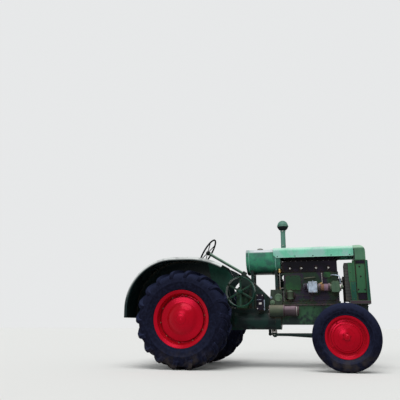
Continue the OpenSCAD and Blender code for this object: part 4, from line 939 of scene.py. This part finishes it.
def steering():
    slope = radians(31)
    down = Vector((cos(slope), 0, -sin(slope)))
    hub = centre_of("steering_wheel") - 0.012 * down
    nut = Shape().stem(hub, -down, [(34, 0), (30, 6), (13, 8), (13, 18)], 24)
    nut.piece("steering_hub_cap", "steel", "steering_wheel")
    for side in SIDES:
        y = SIDES[side] * 530
        caps = Shape().stem(at(2200, y, 512), Z, [(26, -1), (26, 6), (16, 10), (6, 10), (6, 18)], 24)
        caps.stem(at(2030, y, 395), Z, [(15, -2), (15, 10), (9, 12)])
        for z in (376, 496):
            caps.bolt(at(2232, y + SIDES[side] * 20, z), X, 8)
        caps.piece("kingpin_caps_" + side, "steel", "knuckle_" + side)
    rod = Shape()
    for y in (-470, 470):
        rod.sleeve(at(2030, y, 296), Y, 14, -20, 20, 4, 20).bolt(at(2018, y, 296), -X, 5)
    rod.piece("tie_rod_clamps", "steel", "tie_rod")
    start, end = at(2200, 250, 378), at(1110, 250, 442)
    along = (end - start).normalized()
    link = Shape().sleeve(start, along, 14, 100, 135, 5, 20).sleeve(end, -along, 14, 60, 100, 7, 20)
    link.stem(end, Y, [(10, 18), (10, 32), (8, 34)])
    link.piece("drag_link_clamps", "steel", "drag_link")
    arm = Shape().stem(at(1110, 232, 872), Y, [(19, -2), (19, 12), (12, 14)])
    arm.piece("drop_arm_nut", "steel", "drop_arm")
    pivot = Shape()
    for x, out in ((2304, X), (2096, -X)):
        pivot.stem(at(x, 0, 545), out, [(17, -4), (17, 10), (12, 12)])
    for y in (310, -310):
        for z in (430, 458):
            pivot.bolt(at(2144, y, z), -X, 7)
    pivot.piece("axle_nuts", "steel")


def operator_place():
    """Strips on the platform, ribs on the pedals, and the fenders' rivets, braces and front panels in lighter
    teal as painted light.
    """
    strips = Shape()
    for y in range(-300, 301, 50):
        for a, b in [(-545, 415)] if abs(y) > 205 else [(-545, -130), (140, 380)]:
            strips.block(at(a, y - 3, 845.5), at(b, y + 3, 848.5))
    strips.piece("tread_strips", "dark_green_paint")
    ribs = Shape().sleeve(at(470, 55, 1245), Z, 12, -34, -20, 4, 20)
    for y in (-150, 150):
        for x in range(432, 500, 13):
            ribs.block(at(x, y - 36, 973.5), at(x + 5, y + 36, 976.5))
    ribs.piece("pedal_ribs", "steel")
    rivets = Shape()
    rear_arc = arc(-130, 803, 690, range(94, 180, 6))
    front_arc = arc(80, 418, 1076, range(64, 90, 4))
    for side in (LEFT, RIGHT):
        out = -side * Y
        for x, z in rear_arc + front_arc:
            rivets.stem(at(x, side * 325, z) - 0.001 * out, out, [(7, 0), (5, 3), (2, 4)], 10)
        for x in range(-460, 401, 120):
            rivets.bolt(at(x, side * 325, 862), out, 7)
    rivets.piece("fender_rivets", "fender_shade_paint")
    # Painted light: the front of the inner panels, round the belt pulley down to the platform, is lighter
    # teal
    outline = arc(80, 418, 1092, range(80, 62, -3)) + arc(PULLEY_X, PULLEY_Z, 243, range(120, 206, 12))
    outline += [(462, 848), (400, 848)]
    facing = Shape()
    for side in (LEFT, RIGHT):
        facing.plate([at(x, side * 330, z) for x, z in outline], (0, side * 0.0022, 0))
    facing.piece("fender_lit_panels", "teal_paint", bevel=0.6)
    braces = [((-436, -404), 325, (850, 1330)), ((234, 266), 325, (850, 1240))]
    facings("fender_braces", "fender_shade_paint", braces, thick=7, bevel=0)


# Camera, light and floor

def camera():
    """The photograph's camera, set back from the right side and looking a little up."""
    focal_px = 505
    image_px = 400
    yaw, pitch, roll = (radians(a) for a in (14.03, 13.74, -0.05))
    data = bpy.data.cameras.new("camera")
    data.sensor_width = 36.0
    data.lens = data.sensor_width * focal_px / image_px
    level = Vector((cos(yaw), sin(yaw), 0))
    ahead = Vector((-sin(yaw), cos(yaw), 0))
    look = cos(pitch) * ahead + sin(pitch) * Z
    down = sin(pitch) * ahead - cos(pitch) * Z
    to_right = cos(roll) * level + sin(roll) * down
    to_top = sin(roll) * level - cos(roll) * down
    place = at(1995, -7724, 598)
    made = linked("camera", data)
    rows = [[to_right[i], to_top[i], -look[i], place[i]] for i in range(3)]
    made.matrix_world = Matrix(rows + [[0, 0, 0, 1]])
    bpy.context.scene.camera = made


def floor():
    size = 60.0
    mesh = bpy.data.meshes.new("floor")
    corners = [(-size, -size, 0), (size, -size, 0), (size, size, 0), (-size, size, 0)]
    mesh.from_pydata(corners, [], [(0, 1, 2, 3)])
    material = bpy.data.materials.new("floor")
    material.use_nodes = True
    shader = material.node_tree.nodes["Principled BSDF"]
    shader.inputs["Base Color"].default_value = (0.72, 0.72, 0.7, 1)
    shader.inputs["Roughness"].default_value = 0.9
    mesh.materials.append(material)
    linked("floor", mesh)


def lights():
    """A soft sky, a pale backdrop, and two wide lamps, from above and from the camera's side."""
    world = bpy.data.worlds.new("studio")
    bpy.context.scene.world = world
    world.use_nodes = True
    tree = world.node_tree
    sky = tree.nodes["Background"]
    sky.inputs["Color"].default_value = (0.93, 0.97, 1.0, 1)
    sky.inputs["Strength"].default_value = 0.32
    backdrop = new_node(tree, "ShaderNodeBackground", {"Color": (0.8, 0.81, 0.815), "Strength": 1.0})
    # The backdrop is what the camera sees, and what shows in glossy and clear surfaces
    ray = new_node(tree, "ShaderNodeLightPath", {})
    seen = ray["Is Camera Ray"]
    for kind in ("Is Glossy Ray", "Is Transmission Ray"):
        seen = new_node(tree, "ShaderNodeMath", {0: seen, 1: ray[kind]}, operation="MAXIMUM")[0]
    mixed = new_node(tree, "ShaderNodeMixShader", {0: seen, 1: sky.outputs[0], 2: backdrop[0]})
    feed(tree, tree.nodes["World Output"].inputs[0], mixed[0])
    # Name, the direction that each wide lamp shines from, how wide it is in degrees, and its strength
    lamps = [("overhead", (0.1, -0.5, 1.0), 45, 2.3), ("beside", (-0.25, -1.0, 0.42), 24, 1.0)]
    for name, source, width, strength in lamps:
        data = bpy.data.lights.new(name, "SUN")
        data.angle = radians(width)
        data.energy = strength
        lamp = linked(name, data)
        lamp.rotation_euler = (-Vector(source)).to_track_quat("-Z", "Y").to_euler()


camera()
floor()
lights()
dress_nodes()
for wheel_side in SIDES:
    rear_tyre(wheel_side)
    front_tyre(wheel_side)
    wheel_trim(wheel_side)
for make in (fasten, tank_and_hood, stack, radiator, engine, starter, fuel_line, left_side, drive_line,
             steering, operator_place):
    make()

bpy.context.scene.view_settings.view_transform = "Standard"
